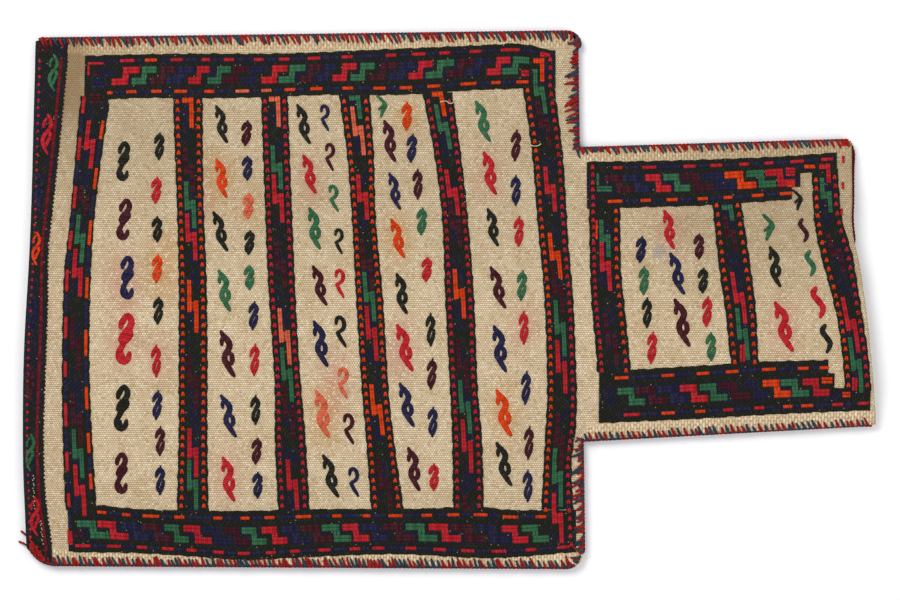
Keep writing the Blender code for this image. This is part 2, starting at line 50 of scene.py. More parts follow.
# The bag's own sizes, as the solids have them. Lengths along it start from the fold's
# furthest point.
BODY_LENGTH = 0.392
BODY_WIDTH = 0.3735
BODY_TAPER = 0.0045
NECK_LENGTH = 0.198
NECK_WIDTH = 0.205
NECK_TAPER = 0.007
NECK_OFFSET = 0.0035
NECK_DRIFT = 0.0095
SHOULDER_SLANT = 0.005
MOUTH_SLANT = 0.017
CLOTH_THICKNESS = 0.0025
SEAM_GAP = 0.0004
POUCH_DEPTH = 0.0125
NECK_DEPTH = 0.0095
FOLD_DEPTH = 0.0050
SIDE_ROLL = 0.075
NECK_ROLL = 0.048
MOUTH_REACH = 0.090
EDGE_LIFT = 0.0015
EDGE_FLAT = 0.0062
EDGE_FALL = 0.0140
BAG_LENGTH = BODY_LENGTH + NECK_LENGTH

# What the worked cloth has in its own way: how far the frame's middle is from the fold, how
# the corners are rounded, and how the sides and the fold line stray from straight
SHIFT = 0.2999
SHOULDER_ROUND = 0.0090
LEFT_FOLD_ROUND = 0.0045
RIGHT_FOLD_ROUND = 0.0195
LOWER_SIDE_EXTRA = 0.0020
UPPER_SIDE_SLANT = 0.0030
SLANT_TURNS_AT = 0.45
NECK_LOWER_EXTRA = 0.0022
FOLD_BOW = (0.0030, 0.0001, 0.0009, 0.0049, 0.0073, 0.0090)

# How far the front lip bows in, in millimetres, by the share of the mouth's half width
MOUTH_BOW = (
    (-1.0, -2.4), (-0.82, -2.6), (-0.48, -2.2), (-0.27, -1.9), (-0.03, -0.5), (0.11, 0.5),
    (0.21, 2.0), (0.29, 3.2), (0.42, 3.4), (0.55, 2.0), (0.75, 0.2), (0.9, -1.4), (1.0, -1.6),
)

# The back lip lies just inside the front one, and shows past it in this run of shares, with
# these fades at its two ends
BACK_LIP_HIDDEN = 0.0006
BACK_LIP_SHOWN = 0.0024
BACK_LIP_RUN = (0.20, 0.99)
BACK_LIP_FADES = (0.10, 0.12)
BACK_LIP_END = 0.032
BACK_LIP_YARN = 0.0012
BACK_LIP_YARNS_IN = (0.0006, 0.0024, 0.0042)
BACK_LIP_HIGH = 0.0020

# The front's unevenness: each wave's height, its turns along X and Y, and its start
SWELLS = (
    (0.00042, 31.0, 9.0, 0.4), (0.00036, -17.0, 37.0, 1.9),
    (0.00026, 63.0, 21.0, 3.1), (0.00022, 12.0, 74.0, 5.2),
)
SWELL_REACH = 0.03

# The cloth's grid: (end, step) spans of its rows, and the steps of its columns beside the
# neck and in it
BODY_ROWS = ((0.006, 0.001), (0.030, 0.003), (0.372, 0.0061), (BODY_LENGTH, 0.002))
NECK_ROWS = ((0.190, 0.0061), (NECK_LENGTH, 0.002))
COLUMN_STEPS = (0.0016, 0.0021, 0.0016)

# The render
SHOWN_WIDTH = 0.6365
CAMERA_HEIGHT = 2.4
SENSOR = 36.0
VIEW_CENTRE = (0.0007, -0.0004)

# The cloth's weave: a bead of weft, and the comb of warp ends drawn in by the long seams
BEAD_HIGH = 0.00146
BEAD_LONG = 0.00172
COMB = 0.0021
COMB_LONG = 0.0052
COMB_REACH = 0.0085
COMB_FADE = 0.003

# The raised bands: their height, a row of their mesh, how deep their sides go into the cloth
# as a share of that height, and the section of one rounded lane
BAND_RISE = 0.0009
BAND_ROW = 0.0020
BAND_FOOT = -0.4
LANE_SHARES = (0.08, 0.3, 0.5, 0.7, 0.92)
LANE_LOW = 0.62
EDGE_WAVES = ((0.00022, 420.0), (0.00020, 730.0), (0.00014, 1490.0))

# Yarn laid on the cloth
WRAP = 0.00155
FIGURE_RISE = 0.0003
YARN_HIGH = 0.0009
DASH_HIGH = 0.0010
YARN_SECTION = 5
YARN_END = 0.15

COLOURS = {
    "k": ("black", (0.014, 0.015, 0.011)),
    "m": ("maroon", (0.050, 0.009, 0.014)),
    "n": ("navy", (0.016, 0.015, 0.046)),
    "r": ("red", (0.41, 0.014, 0.020)),
    "w": ("wine", (0.13, 0.007, 0.012)),
    "g": ("green", (0.030, 0.115, 0.052)),
    "o": ("orange", (0.57, 0.042, 0.005)),
    "s": ("salmon", (0.56, 0.105, 0.050)),
    "c": ("cream", (0.60, 0.49, 0.33)),
}

# Linear colours of the pale ground and of what has happened to it, and of the dark bands. Some
# are painted light: highlights on beads, shade in the gaps and shade over the ground's upper side.
CREAM = (0.74, 0.60, 0.40)
CREAM_DEEP = (0.64, 0.50, 0.31)
CREAM_TAN = (0.56, 0.40, 0.22)
TAN_STRIP = (0.29, 0.185, 0.098)
# Painted highlight on a share of the ground's beads
BEAD_HIGHLIGHT = (0.92, 0.82, 0.62)
BEAD_WARM = (0.42, 0.28, 0.13)
# Painted shade in the gaps between the ground's beads
BEAD_GAP_SHADE = (0.30, 0.185, 0.085)
# Painted shade over the ground's upper side, deepest near the fold and by the mouth
PAINTED_UPPER_SHADE = (0.12, 0.085, 0.035)
PINK = (0.62, 0.28, 0.22)
ORANGE_RUN = (0.62, 0.33, 0.12)
BLUE_STAIN = (0.36, 0.38, 0.40)
BAND_BLACK = (0.015, 0.016, 0.012)
BAND_NAVY = (0.014, 0.013, 0.034)
BAND_WORN = (0.034, 0.032, 0.025)
# Painted shade in the gaps between the bands' stitches
BAND_GAP_SHADE = (0.006, 0.006, 0.005)
BAND_SPECK = (0.42, 0.33, 0.20)
FADED = (0.42, 0.27, 0.18)
BINDING_RED = (0.30, 0.014, 0.014)
BINDING_TEAL = (0.030, 0.052, 0.072)
BINDING_WRAP = 0.0012
# How far painted shade darkens a yarn in the grooves between its wraps
YARN_GAP_SHADE = 0.40
YARN_FADE = 0.16

# Where dye ran or something stained the ground: X, Y, half width, half height, strength
STAINS = (
    (PINK, (
        (-175.0, 70.0, 9.0, 22.0, 0.65), (-228.0, 12.0, 14.0, 26.0, 0.58),
        (-228.0, -28.0, 12.0, 22.0, 0.51), (-80.0, -58.0, 12.0, 26.0, 0.61),
        (-97.0, 84.0, 10.0, 20.0, 0.43), (-34.0, -36.0, 13.0, 26.0, 0.58),
        (28.0, 88.0, 12.0, 22.0, 0.51), (156.0, 46.0, 12.0, 22.0, 0.51),
        (236.0, -20.0, 12.0, 22.0, 0.51), (-155.0, -124.0, 13.0, 22.0, 0.43),
        (52.0, -18.0, 11.0, 20.0, 0.43), (-205.0, -42.0, 11.0, 20.0, 0.43),
    )),
    (ORANGE_RUN, (
        (-160.0, 84.0, 13.0, 22.0, 0.65), (-200.0, 22.0, 14.0, 26.0, 0.65),
        (-36.0, 44.0, 11.0, 20.0, 0.61), (-88.0, -80.0, 12.0, 26.0, 0.58),
        (39.0, -79.0, 11.0, 24.0, 0.51), (-29.0, 128.0, 10.0, 16.0, 0.58),
        (-141.0, 65.0, 11.0, 16.0, 0.43),
    )),
    (BLUE_STAIN, ((148.0, 33.0, 5.0, 6.0, 0.65),)),
)

# Stepped figures in the bands: a bar as a share of the figure, how far its yarns lie from
# the lane's middle, and the riser's yarns
CROSS_MIDDLE = 0.485
CROSS_BAR = 0.61
CROSS_YARN = 0.00162
CROSS_YARNS = (0.00275, 0.00520)
CROSS_STATIONS = 17
CROSS_RISER_HALF = 0.0026
CROSS_RISER_YARN = 0.30
CROSS_RISER_YARNS = (-0.25, 0.25)
UPRIGHT_BAR = 0.62
UPRIGHT_YARN = 0.00098
UPRIGHT_YARNS = (0.00165, 0.00315)
UPRIGHT_STATIONS = 29
UPRIGHT_STUB = 0.0022
RISER_YARN = 0.8 * UPRIGHT_YARN
RISER_YARNS = (-0.0007, 0.0007)
RISER_STATIONS = 7

# Dashes, in millimetres where they end short of each other; dots, from the middle of one to
# its top and its foot; and patches of flat yarn
DASH_YARN = 0.00150
DASH_STATIONS = 15
DASH_GAP = 0.9
DOT_PITCH = 0.0059
CLOSE_DOT_PITCH = 0.0050
DOT_TOP = (0.00012, 0.0020)
DOT_FOOT = (0.00092, -0.0017)
DOT_YARN = (0.00060, 0.00092)
DOT_STATIONS = 7
LONG_WRAP = 0.0050
PATCH_YARN = 0.0022
PATCH_FILL = 0.56

# Hooked figures in the fields
HOOK_SPREAD = 1.08
HOOK_WOBBLE = 0.05
HOOK_HIGH = 0.0011
HOOK_RISE = 0.0001
HOOK_WRAP = 0.0019
HOOK_TIP = 0.6
HOOK_STATIONS = 3.4
TAIL_LEAN = -0.11
LEAF_LEAN = -0.02
SLIM_ABOVE = 0.0176
SLIMMING = 1.3

# The band round the fold: its line of wine yarn, the black edge and teeth beyond it, its dots
# and its specks, and its rows as shares of the way up with their heights in band heights
FOLD_EDGE = 0.0042
FOLD_UNDER = -0.0016
FOLD_SIDE_GAP = 0.0006
FOLD_COLUMNS = 181
FOLD_TINT = 0.6
FOLD_ROWS = (
    (0.0, -0.4), (0.002, 0.5), (0.03, 0.9), (0.06, 1.0), (0.09, 1.0), (0.12, 1.0), (0.15, 1.0),
    (0.19, 1.0), (0.24, 1.0), (0.3, 1.0), (0.4, 1.0), (0.55, 1.0), (0.7, 1.0), (0.82, 1.0),
    (0.94, 0.9), (1.0, 0.6), (1.001, -0.4),
)
FOLD_LINE_YARN = 0.0015
TOOTH_PITCH = 0.0030
TOOTH_YARN = 0.00085
TOOTH_RISE = -0.0001
FOLD_DOT_PITCH = 0.00275
FOLD_DOTS_IN = 0.0028
FOLD_DOT_YARN = 0.0013
SPECK_YARN = 0.00036
SPECK_HIGH = 0.0006
ON_BAND = FIGURE_RISE + 0.0003

# Sewing yarn. A stitch runs from -1 in the front, over the rim at 0, to 1 under the cloth. It
# turns round the rim within STITCH_TURN of 0 and goes into the cloth past STITCH_ENDS.
STITCH_YARN = 0.00122
STITCH_LEAN = 0.58
STITCH_STATIONS = (-1.0, -0.86, -0.60, -0.34, -0.17, 0.0, 0.17, 0.34, 0.60, 0.86, 1.0)
STITCH_TURN = 0.30
STITCH_ENDS = 0.86
STITCH_BULGE = 0.0004
STITCH_TUCK = 0.0011
STITCH_SECTION = 5

# A side's path: where its half width is read, the turn in half circles at which it starts
# round the fold's corner on the left and on the right, and the step for its heading
CORNER_REACH = 0.03
FIRST_TURN = {1: 0.70, -1: 0.86}
HEADING_STEP = 0.002

# The yarn along the rim: its runs of each colour, and how the stitches change colour
RIM_YARN = 0.00110
RIM_OUT = 0.0006
RIM_HIGH = 0.0008
RIM_RUNS = {"red": (0.004, 0.016), "teal": (0.006, 0.022)}
RIM_OVERLAP = 0.0006
SIDE_END = 0.001
RED_AFTER_RED = 0.36
RED_AFTER_TEAL = 0.84
YARN_PLY = 0.16
YARN_TWIST = 2200.0
UP = (0.0, 0.0, 1.0)

# The stitches of each stretch: shortest and longest leg, step, how strongly the legs keep to
# the shortest, and how far they stray. The two sides' bodies have their own share of a leg.
SHOULDER_STITCHES = (0.378, 0.480)
UPPER_LEG = 0.92
LOWER_LEG = 0.90
STITCH_KINDS = {
    "body": (0.0040, 0.0072, 0.0030, 1.0, 0.2),
    "shoulder": (0.0024, 0.0094, 0.0020, 1.7, 0.9),
    "neck": (0.0030, 0.0052, 0.0036, 1.0, 0.0),
}

# The widths of a band's lanes, from its outer edge inwards: dark edge, figures, dark line,
# middle, dark line, figures, dark edge
CROSS_LANES = (4.0, 4.3, 3.0, 19.5, 4.0, 4.6, 4.0)
UPRIGHT_LANES = (2.5, 4.0, 2.0, 14.0, 2.0, 4.0, 2.5)
CORNER_LANES = (3.0, 4.0, 2.0, 5.0, 3.0)
CORNER_DEEP_LANES = (4.0, 8.5, 2.0, 5.0, 3.0)

# How wide the neck's long bands are where they step in towards the mouth
NECK_CORNER = 0.0128
NECK_CORNER_DEEP = 0.0225
NECK_FOOT = 0.0170
NECK_FOOT_DEEP = 0.0275

# Stepped figures along the bands that run along the bag: colour, start X and end X
BODY_TOP_STEPS = (
    ("r", -237.7, -217.3), ("g", -223.6, -205.4), ("m", -210.3, -192.0), ("n", -199.0, -177.9),
    ("r", -183.6, -168.1), ("g", -170.2, -153.3), ("m", -159.6, -140.7), ("n", -146.3, -128.7),
    ("r", -132.2, -113.2), ("g", -120.3, -100.6), ("m", -104.8, -89.3), ("n", -92.8, -79.5),
    ("r", -82.3, -64.7), ("g", -69.6, -52.0), ("m", -56.3, -36.6), ("n", -42.9, -23.9),
    ("r", -28.8, -11.3), ("g", -16.9, 4.2), ("m", -2.1, 18.3), ("n", 11.3, 29.5), ("r", 26.0, 43.6),
    ("g", 36.6, 57.0),
)
BODY_LOW_STEPS = (
    ("g", -262.3, -238.4), ("r", -247.6, -225.1), ("n", -230.0, -209.6), ("m", -215.9, -194.1),
    ("g", -200.4, -182.9), ("r", -187.1, -166.7), ("n", -173.0, -152.6), ("m", -158.2, -140.0),
    ("g", -146.3, -128.0), ("r", -132.2, -113.2), ("n", -118.2, -97.8), ("m", -104.8, -81.6),
    ("g", -90.0, -68.2), ("r", -75.3, -55.6), ("n", -61.9, -42.9), ("m", -47.1, -23.9),
    ("g", -30.9, -7.7), ("r", -14.8, 9.1), ("m", 0.7, 26.7), ("n", 19.0, 41.5), ("r", 36.6, 56.3),
    ("g", 50.6, 71.0),
)
NECK_TOP_STEPS = (
    ("m", 109.0, 130.8), ("n", 121.7, 143.5), ("r", 137.8, 156.8), ("g", 150.5, 170.2),
    ("m", 161.1, 186.4), ("n", 177.9, 202.6), ("o", 193.4, 216.6), ("g", 208.9, 230.7),
    ("r", 222.2, 244.0),
)
NECK_LOW_STEPS = (
    ("g", 118.2, 138.6), ("m", 130.8, 154.7), ("n", 146.3, 169.5), ("r", 161.8, 182.9),
    ("g", 175.8, 196.2), ("m", 189.2, 212.4), ("n", 206.8, 224.4), ("o", 220.1, 241.2),
    ("g", 232.8, 253.9), ("r", 248.3, 268.0),
)

# Dashes in those bands' narrow lanes: start and end
BODY_TOP_OUTER = (
    (-232.1, -220.8), (-214.5, -205.4), (-196.2, -187.1), (-174.4, -168.1), (-158.9, -151.2),
    (-137.8, -130.1), (-120.3, -111.8), (-99.9, -90.0), (-76.0, -67.5), (-45.0, -36.6),
    (-26.7, -16.2), (-7.0, 1.4), (14.1, 23.2), (35.9, 50.6), (64.0, 71.0),
)
BODY_TOP_INNER = (
    (-240.5, -236.3), (-227.2, -219.4), (-209.6, -201.8), (-193.4, -183.6), (-172.3, -164.6),
    (-150.5, -140.0), (-132.2, -124.5), (-116.0, -107.6), (-97.8, -88.6), (-75.3, -66.8),
    (-53.5, -44.3), (-35.2, -25.3), (-15.5, -5.6), (7.7, 19.7), (29.5, 36.6), (47.1, 56.3),
)
BODY_LOW_OUTER = (
    (-263.7, -251.8), (-241.2, -230.7), (-220.1, -212.4), (-202.6, -193.4), (-185.0, -177.2),
    (-166.7, -158.2), (-149.1, -140.0), (-129.4, -121.7), (-112.5, -104.8), (-92.8, -83.0),
    (-70.3, -61.9), (-54.2, -45.0), (-30.9, -22.5), (-11.3, -1.4), (8.4, 18.3), (29.5, 40.8),
    (53.5, 61.9), (76.0, 85.1),
)
BODY_LOW_INNER = (
    (-247.6, -240.5), (-230.0, -223.6), (-215.9, -203.3), (-193.4, -185.7), (-166.0, -158.9),
    (-147.0, -140.0), (-130.1, -122.4), (-108.3, -96.4), (-82.3, -75.3), (-61.2, -54.9),
    (-42.9, -32.4), (-19.7, -11.3), (-1.4, 7.7), (16.9, 27.4), (37.3, 49.2), (60.5, 68.9),
)
NECK_TOP_OUTER = (
    (115.3, 122.4), (135.7, 146.3), (164.6, 174.4), (183.6, 192.7), (204.0, 211.7), (221.5, 228.6),
    (239.8, 250.4), (261.6, 270.8),
)
NECK_TOP_INNER = (
    (111.1, 122.4), (134.3, 142.1), (152.6, 161.1), (174.4, 182.2), (192.7, 199.7), (212.4, 221.5),
    (232.1, 241.2),
)
NECK_LOW_OUTER = (
    (122.4, 135.0), (149.1, 159.6), (173.0, 180.7), (192.7, 200.4), (214.5, 222.2), (234.9, 241.9),
    (247.6, 256.7), (269.4, 277.8), (287.6, 296.1),
)
NECK_LOW_INNER = (
    (116.0, 126.6), (149.1, 158.9), (173.7, 183.6), (194.1, 204.0), (219.4, 230.0), (244.7, 253.2),
    (260.2, 267.3),
)
BODY_LEFT_OUTER = (
    (130.3, 143.7), (97.2, 114.8), (63.4, 80.3), (34.5, 48.6), (4.9, 21.8), (-28.2, -11.3),
    (-54.9, -43.0), (-90.1, -71.8), (-121.1, -106.3), (-146.5, -135.9), (-173.2, -162.7),
)
BODY_LEFT_INNER = (
    (112.0, 126.1), (76.8, 93.0), (37.3, 56.3), (0.0, 16.2), (-40.8, -20.4), (-78.2, -60.6),
    (-108.4, -93.0), (-133.8, -121.8),
)

# Stepped figures up the bands that run across: colour, the Y of their upper and lower ends,
# and 1 for one with no upper bar or -1 for one with no lower bar
LEFT_STEPS = (
    ("r", 126.1, 91.5, 0), ("m", 80.3, 59.2, 0), ("g", 59.9, 25.4, 0), ("r", 35.9, 1.4, 0),
    ("m", -11.3, -51.4, 0), ("m", -65.5, -102.8, 0), ("g", -90.8, -126.1, 0),
    ("r", -115.5, -152.8, 0),
)
RIGHT_STEPS = (
    ("o", 170.4, 152.8, 1), ("g", 162.7, 130.3, 0), ("m", 140.1, 107.7, 0), ("r", 93.7, 61.3, 0),
    ("o", 47.2, 14.1, 0), ("m", 24.6, -11.3, 0), ("g", 0.0, -40.8, 0), ("r", -28.2, -66.9, 0),
    ("m", -78.9, -120.4, 0), ("g", -104.2, -146.5, 0), ("r", -135.9, -172.5, 0),
)
STRIPE_STEPS = (
    (
        ("o", 142.2, 119.7, 1), ("m", 107.0, 75.3, 0), ("g", 83.1, 49.3, 0), ("r", 60.6, 26.8, 0),
        ("o", 14.1, -23.9, 0), ("m", -38.0, -77.5, 0), ("r", -90.1, -125.3, 0),
        ("g", -112.0, -148.6, 0),
    ),
    (
        ("s", 143.0, 120.4, 1), ("g", 108.4, 76.8, 0), ("r", 88.0, 53.5, 0), ("m", 40.8, 7.7, 0),
        ("s", -5.6, -46.5, 0), ("g", -33.1, -72.5, 0), ("m", -59.9, -98.6, 0),
        ("r", -112.0, -148.6, 0),
    ),
    (
        ("g", 143.7, 126.1, 1), ("s", 135.9, 100.7, 0), ("r", 88.0, 55.6, 0), ("m", 43.0, 6.3, 0),
        ("g", 19.7, -16.2, 0), ("r", -4.2, -43.7, 0), ("o", -59.2, -95.8, 0),
        ("m", -110.6, -148.6, 0),
    ),
    (
        ("o", 146.5, 128.2, 1), ("g", 137.3, 104.9, 0), ("r", 91.5, 58.4, 0), ("m", 69.7, 35.9, 0),
        ("o", 21.8, -14.1, 0), ("m", -27.5, -66.2, 0), ("g", -56.3, -95.1, 0),
        ("r", -83.8, -122.5, 0), ("m", -136.6, -148.6, -1),
    ),
)
NECK_UPRIGHT_STEPS = (
    (
        ("g", 56.3, 29.6, 0), ("r", 40.8, 5.6, 0), ("m", -9.2, -47.9, 0),
    ),
    (
        ("g", 66.9, 54.9, 1), ("m", 59.2, 33.1, 0), ("r", 19.7, -17.6, 0), ("g", -5.6, -43.0, 0),
    ),
    (
        ("r", 95.8, 81.7, 1), ("g", 85.9, 60.6, 0), ("m", 46.5, 19.0, 0), ("r", 2.1, -38.0, 0),
        ("g", -26.1, -66.2, 0),
    ),
)

# Hooked figures in the pale fields: colour, X and Y of the middle, and height
DOUBLE_HOOKS = (
    ("k", -228.6, 97.2, 28.0), ("m", -227.9, 56.3, 29.4), ("n", -225.8, 15.5, 30.8),
    ("r", -227.2, -27.5, 36.4), ("k", -229.3, -76.1, 32.9), ("m", -230.0, -121.8, 29.4),
)
TAILED_HOOKS = (
    ("k", -159.6, 123.2, 26.6), ("o", -159.6, 85.2, 27.3), ("k", -160.4, 47.9, 28.0),
    ("g", -157.5, 6.3, 29.4), ("m", -155.4, -38.0, 32.9), ("n", -154.7, -81.7, 30.1),
    ("r", -154.7, -126.1, 31.5), ("k", -102.0, 123.2, 28.0), ("r", -97.8, 88.0, 27.3),
    ("g", -94.2, 50.0, 29.4), ("m", -90.7, 9.9, 28.0), ("n", -90.0, -31.0, 32.2),
    ("s", -88.6, -80.3, 32.9), ("k", -83.0, -123.9, 30.1), ("m", -41.5, 111.3, 29.4),
    ("n", -38.0, 76.1, 25.9), ("o", -35.9, 43.0, 27.3), ("k", -33.1, 4.2, 28.7),
    ("r", -30.9, -33.8, 32.9), ("n", -29.5, -73.9, 30.8), ("m", -24.6, -119.0, 30.8),
    ("g", 23.9, 125.3, 28.7), ("r", 28.8, 88.7, 30.1), ("k", 30.9, 50.7, 26.6),
    ("m", 34.5, 8.5, 29.4), ("n", 35.9, -34.5, 32.9), ("o", 38.7, -79.6, 32.9),
    ("k", 38.7, -115.5, 30.8), ("r", 154.7, 49.3, 27.3), ("n", 160.4, 18.3, 29.4),
    ("m", 163.9, -16.2, 33.6), ("k", 229.3, 23.2, 28.7), ("r", 235.6, -19.0, 35.0),
)
SHORT_HOOKS = (
    ("k", -203.3, 107.7, 19.6), ("r", -205.4, 76.8, 18.9), ("k", -204.7, 49.3, 18.2),
    ("o", -204.7, 21.8, 20.3), ("k", -204.0, -7.7, 19.6), ("r", -205.4, -43.0, 23.1),
    ("n", -204.7, -73.9, 21.0), ("m", -202.6, -99.3, 21.0), ("n", -202.6, -126.8, 21.0),
    ("m", -142.1, 116.9, 18.2), ("n", -141.4, 92.3, 17.5), ("s", -140.7, 65.5, 18.2),
    ("k", -140.0, 40.1, 17.5), ("g", -140.0, 15.5, 17.5), ("n", -137.1, -11.3, 20.3),
    ("r", -136.4, -42.3, 23.1), ("k", -135.7, -77.5, 21.0), ("m", -135.0, -106.3, 18.9),
    ("n", -134.3, -130.3, 18.9), ("o", -29.5, 128.9, 20.3), ("n", -26.0, 106.3, 20.3),
    ("m", -21.8, 81.0, 21.7), ("g", -19.0, 54.9, 19.6), ("r", -15.5, 21.1, 17.5),
    ("k", -12.7, -21.1, 23.8), ("m", -12.0, -52.1, 22.4), ("n", -11.3, -85.9, 21.7),
    ("r", -10.5, -124.6, 19.6), ("m", 47.1, 108.4, 22.4), ("n", 47.1, 76.8, 21.7),
    ("r", 49.2, 47.9, 21.7), ("g", 51.3, 9.9, 21.7), ("r", 52.7, -19.7, 23.8),
    ("n", 54.2, -62.0, 23.8), ("m", 56.3, -100.7, 23.8), ("n", 55.6, -131.0, 23.1),
    ("n", 135.0, 35.2, 18.9), ("g", 137.1, 13.4, 20.3), ("k", 139.3, -9.2, 21.7),
    ("r", 142.8, -33.8, 23.1), ("m", 175.8, 37.3, 18.2), ("k", 178.6, 13.4, 18.2),
    ("r", 181.5, -8.5, 21.7), ("g", 184.3, -33.1, 20.3),
)
THIN_HOOKS = (
    ("n", -87.2, 127.5, 18.9), ("m", -83.7, 100.0, 19.6), ("g", -80.9, 71.1, 18.9),
    ("k", -77.4, 40.8, 18.2), ("r", -76.7, 11.3, 20.3), ("k", -76.0, -22.5, 22.4),
    ("s", -74.5, -58.4, 21.7), ("m", -70.3, -90.8, 21.7), ("n", -66.8, -128.2, 21.0),
)
WAVES = (
    ("m", 249.2, 48.6, 16.8), ("g", 254.1, 25.4, 18.2), ("r", 259.7, -2.1, 22.4),
    ("k", 265.3, -27.5, 20.3),
)
CHEVRONS = (
    ("g", -47.5, 135.6, 15.5), ("g", 224.0, 50.7, 18.5), ("k", 244.8, 70.0, 14.6),
)

# The bands' edges: (X, Y) for those that run along the bag, (Y, X) for those across it
FRAME_TOP = (
    (-256.7, 171.8), (-194.8, 173.2), (-113.9, 173.5), (-51.3, 176.1), (29.5, 179.6), (49.9, 180.3),
    (74.5, 175.3),
)
FIELDS_TOP = (
    (-245.5, 140.1), (-217.3, 141.5), (-154.0, 141.5), (-83.7, 143.7), (-34.5, 143.7),
    (21.8, 147.2), (42.9, 147.9), (60.5, 148.6),
)
FIELDS_LOW = (
    (-245.5, -144.4), (-217.3, -147.2), (-154.0, -148.6), (-83.7, -147.2), (-34.5, -147.2),
    (21.8, -145.8), (42.9, -147.9), (64.7, -148.2),
)
FRAME_LOW = (
    (-268.7, -177.3), (-267.3, -178.1), (-221.5, -178.8), (-181.5, -181.2), (-143.5, -183.9),
    (-104.8, -182.0), (-37.3, -179.6), (29.5, -182.4), (90.0, -178.2),
)
FRAME_LEFT = (
    (171.8, -256.7), (56.3, -266.6), (16.2, -270.8), (-64.8, -272.2), (-124.6, -270.8),
    (-175.3, -268.7),
)
FRAME_LEFT_IN = (
    (133.1, -239.1), (104.9, -243.3), (76.8, -246.9), (48.6, -249.7), (6.3, -251.8),
    (-35.9, -252.5), (-71.1, -251.8), (-99.3, -250.4), (-144.4, -247.6),
)
FRAME_RIGHT_IN = (
    (147.9, 52.0), (102.1, 58.4), (56.3, 61.9), (2.1, 66.8), (-64.8, 68.9), (-97.2, 67.5),
    (-138.0, 65.4), (-147.9, 64.7),
)
FRAME_RIGHT = (
    (149.3, 74.5), (102.1, 80.2), (56.3, 83.0), (43.0, 83.7), (2.1, 87.2), (-45.1, 89.3),
    (-71.1, 90.0), (-92.3, 89.3), (-114.8, 86.5), (-159.1, 88.6), (-178.2, 90.0),
)
NECK_TOP = (
    (98.5, 97.2), (154.0, 97.9), (230.7, 100.7), (271.5, 103.5),
)
NECK_TOP_IN = (
    (109.7, 63.7), (121.0, 64.1), (185.7, 66.2), (205.4, 67.6), (256.0, 71.1), (282.0, 72.5),
)
NECK_LOW_IN = (
    (109.7, -50.0), (126.6, -49.3), (198.3, -45.1), (218.0, -43.7), (267.3, -42.3), (296.1, -40.8),
)
NECK_LOW = (
    (105.5, -87.3), (169.5, -84.5), (230.7, -81.0), (296.1, -78.2),
)
NECK_LEFT = (
    (97.2, 97.8), (50.0, 98.5), (-0.7, 99.9), (-40.1, 103.4), (-85.9, 104.8),
)
NECK_LEFT_IN = (
    (66.2, 120.3), (20.4, 121.0), (-7.7, 123.8), (-35.9, 126.6), (-51.4, 128.0),
)
NECK_STRIPE_LEFT = (
    (66.9, 185.0), (20.4, 189.9), (-7.7, 194.1), (-35.9, 196.9), (-46.5, 198.3),
)
NECK_STRIPE_RIGHT = (
    (68.3, 205.4), (20.4, 212.4), (-7.7, 215.9), (-35.9, 217.3), (-45.8, 218.0),
)
NECK_RIGHT_IN = (
    (85.6, 255.3), (71.1, 255.6), (51.7, 257.0), (31.4, 261.1), (4.2, 268.6), (-16.0, 273.2),
    (-36.3, 276.0), (-56.6, 278.0),
)
NECK_RIGHT = (
    (103.5, 273.0), (72.5, 274.6), (58.5, 275.9), (44.9, 279.6), (31.4, 283.6), (4.2, 288.2),
    (-16.0, 291.4), (-36.2, 294.4), (-63.4, 297.0),
)
FOLD_LINE = (
    (172.5, -272.9), (121.1, -277.1), (56.3, -284.1), (35.9, -286.2), (-11.3, -286.9),
    (-71.1, -289.1), (-97.2, -289.8), (-138.0, -288.4), (-175.3, -284.1),
)
STRIPES = (
    (
        (
            (141.5, -194.1), (69.7, -191.3), (16.2, -189.9), (-38.0, -189.9), (-97.2, -189.9),
            (-148.6, -191.3),
        ),
        (
            (141.5, -173.0), (69.7, -172.3), (16.2, -170.2), (-38.0, -169.5), (-97.2, -169.5),
            (-148.6, -168.8),
        ),
    ),
    (
        (
            (143.0, -132.2), (69.7, -129.4), (16.2, -127.3), (-38.0, -123.8), (-64.8, -122.4),
            (-97.2, -122.4), (-148.6, -120.3),
        ),
        (
            (143.0, -113.2), (69.7, -110.4), (16.2, -108.3), (-38.0, -105.5), (-64.8, -103.4),
            (-97.2, -100.6), (-148.6, -97.8),
        ),
    ),
    (
        (
            (143.7, -77.4), (102.1, -71.7), (56.3, -68.2), (2.1, -65.4), (-64.8, -61.2),
            (-97.2, -58.4), (-147.9, -54.9),
        ),
        (
            (143.7, -55.6), (102.1, -52.7), (56.3, -51.3), (2.1, -46.4), (-64.8, -42.2),
            (-97.2, -38.7), (-147.9, -31.6),
        ),
    ),
    (
        (
            (146.5, -19.0), (102.1, -10.5), (56.3, -4.9), (2.1, -2.8), (-64.8, 0.7), (-97.2, 2.1),
            (-147.9, 2.8),
        ),
        (
            (146.5, 2.1), (102.1, 8.4), (56.3, 13.4), (2.1, 17.6), (-64.8, 20.4), (-97.2, 23.2),
            (-147.9, 24.6),
        ),
    ),
)

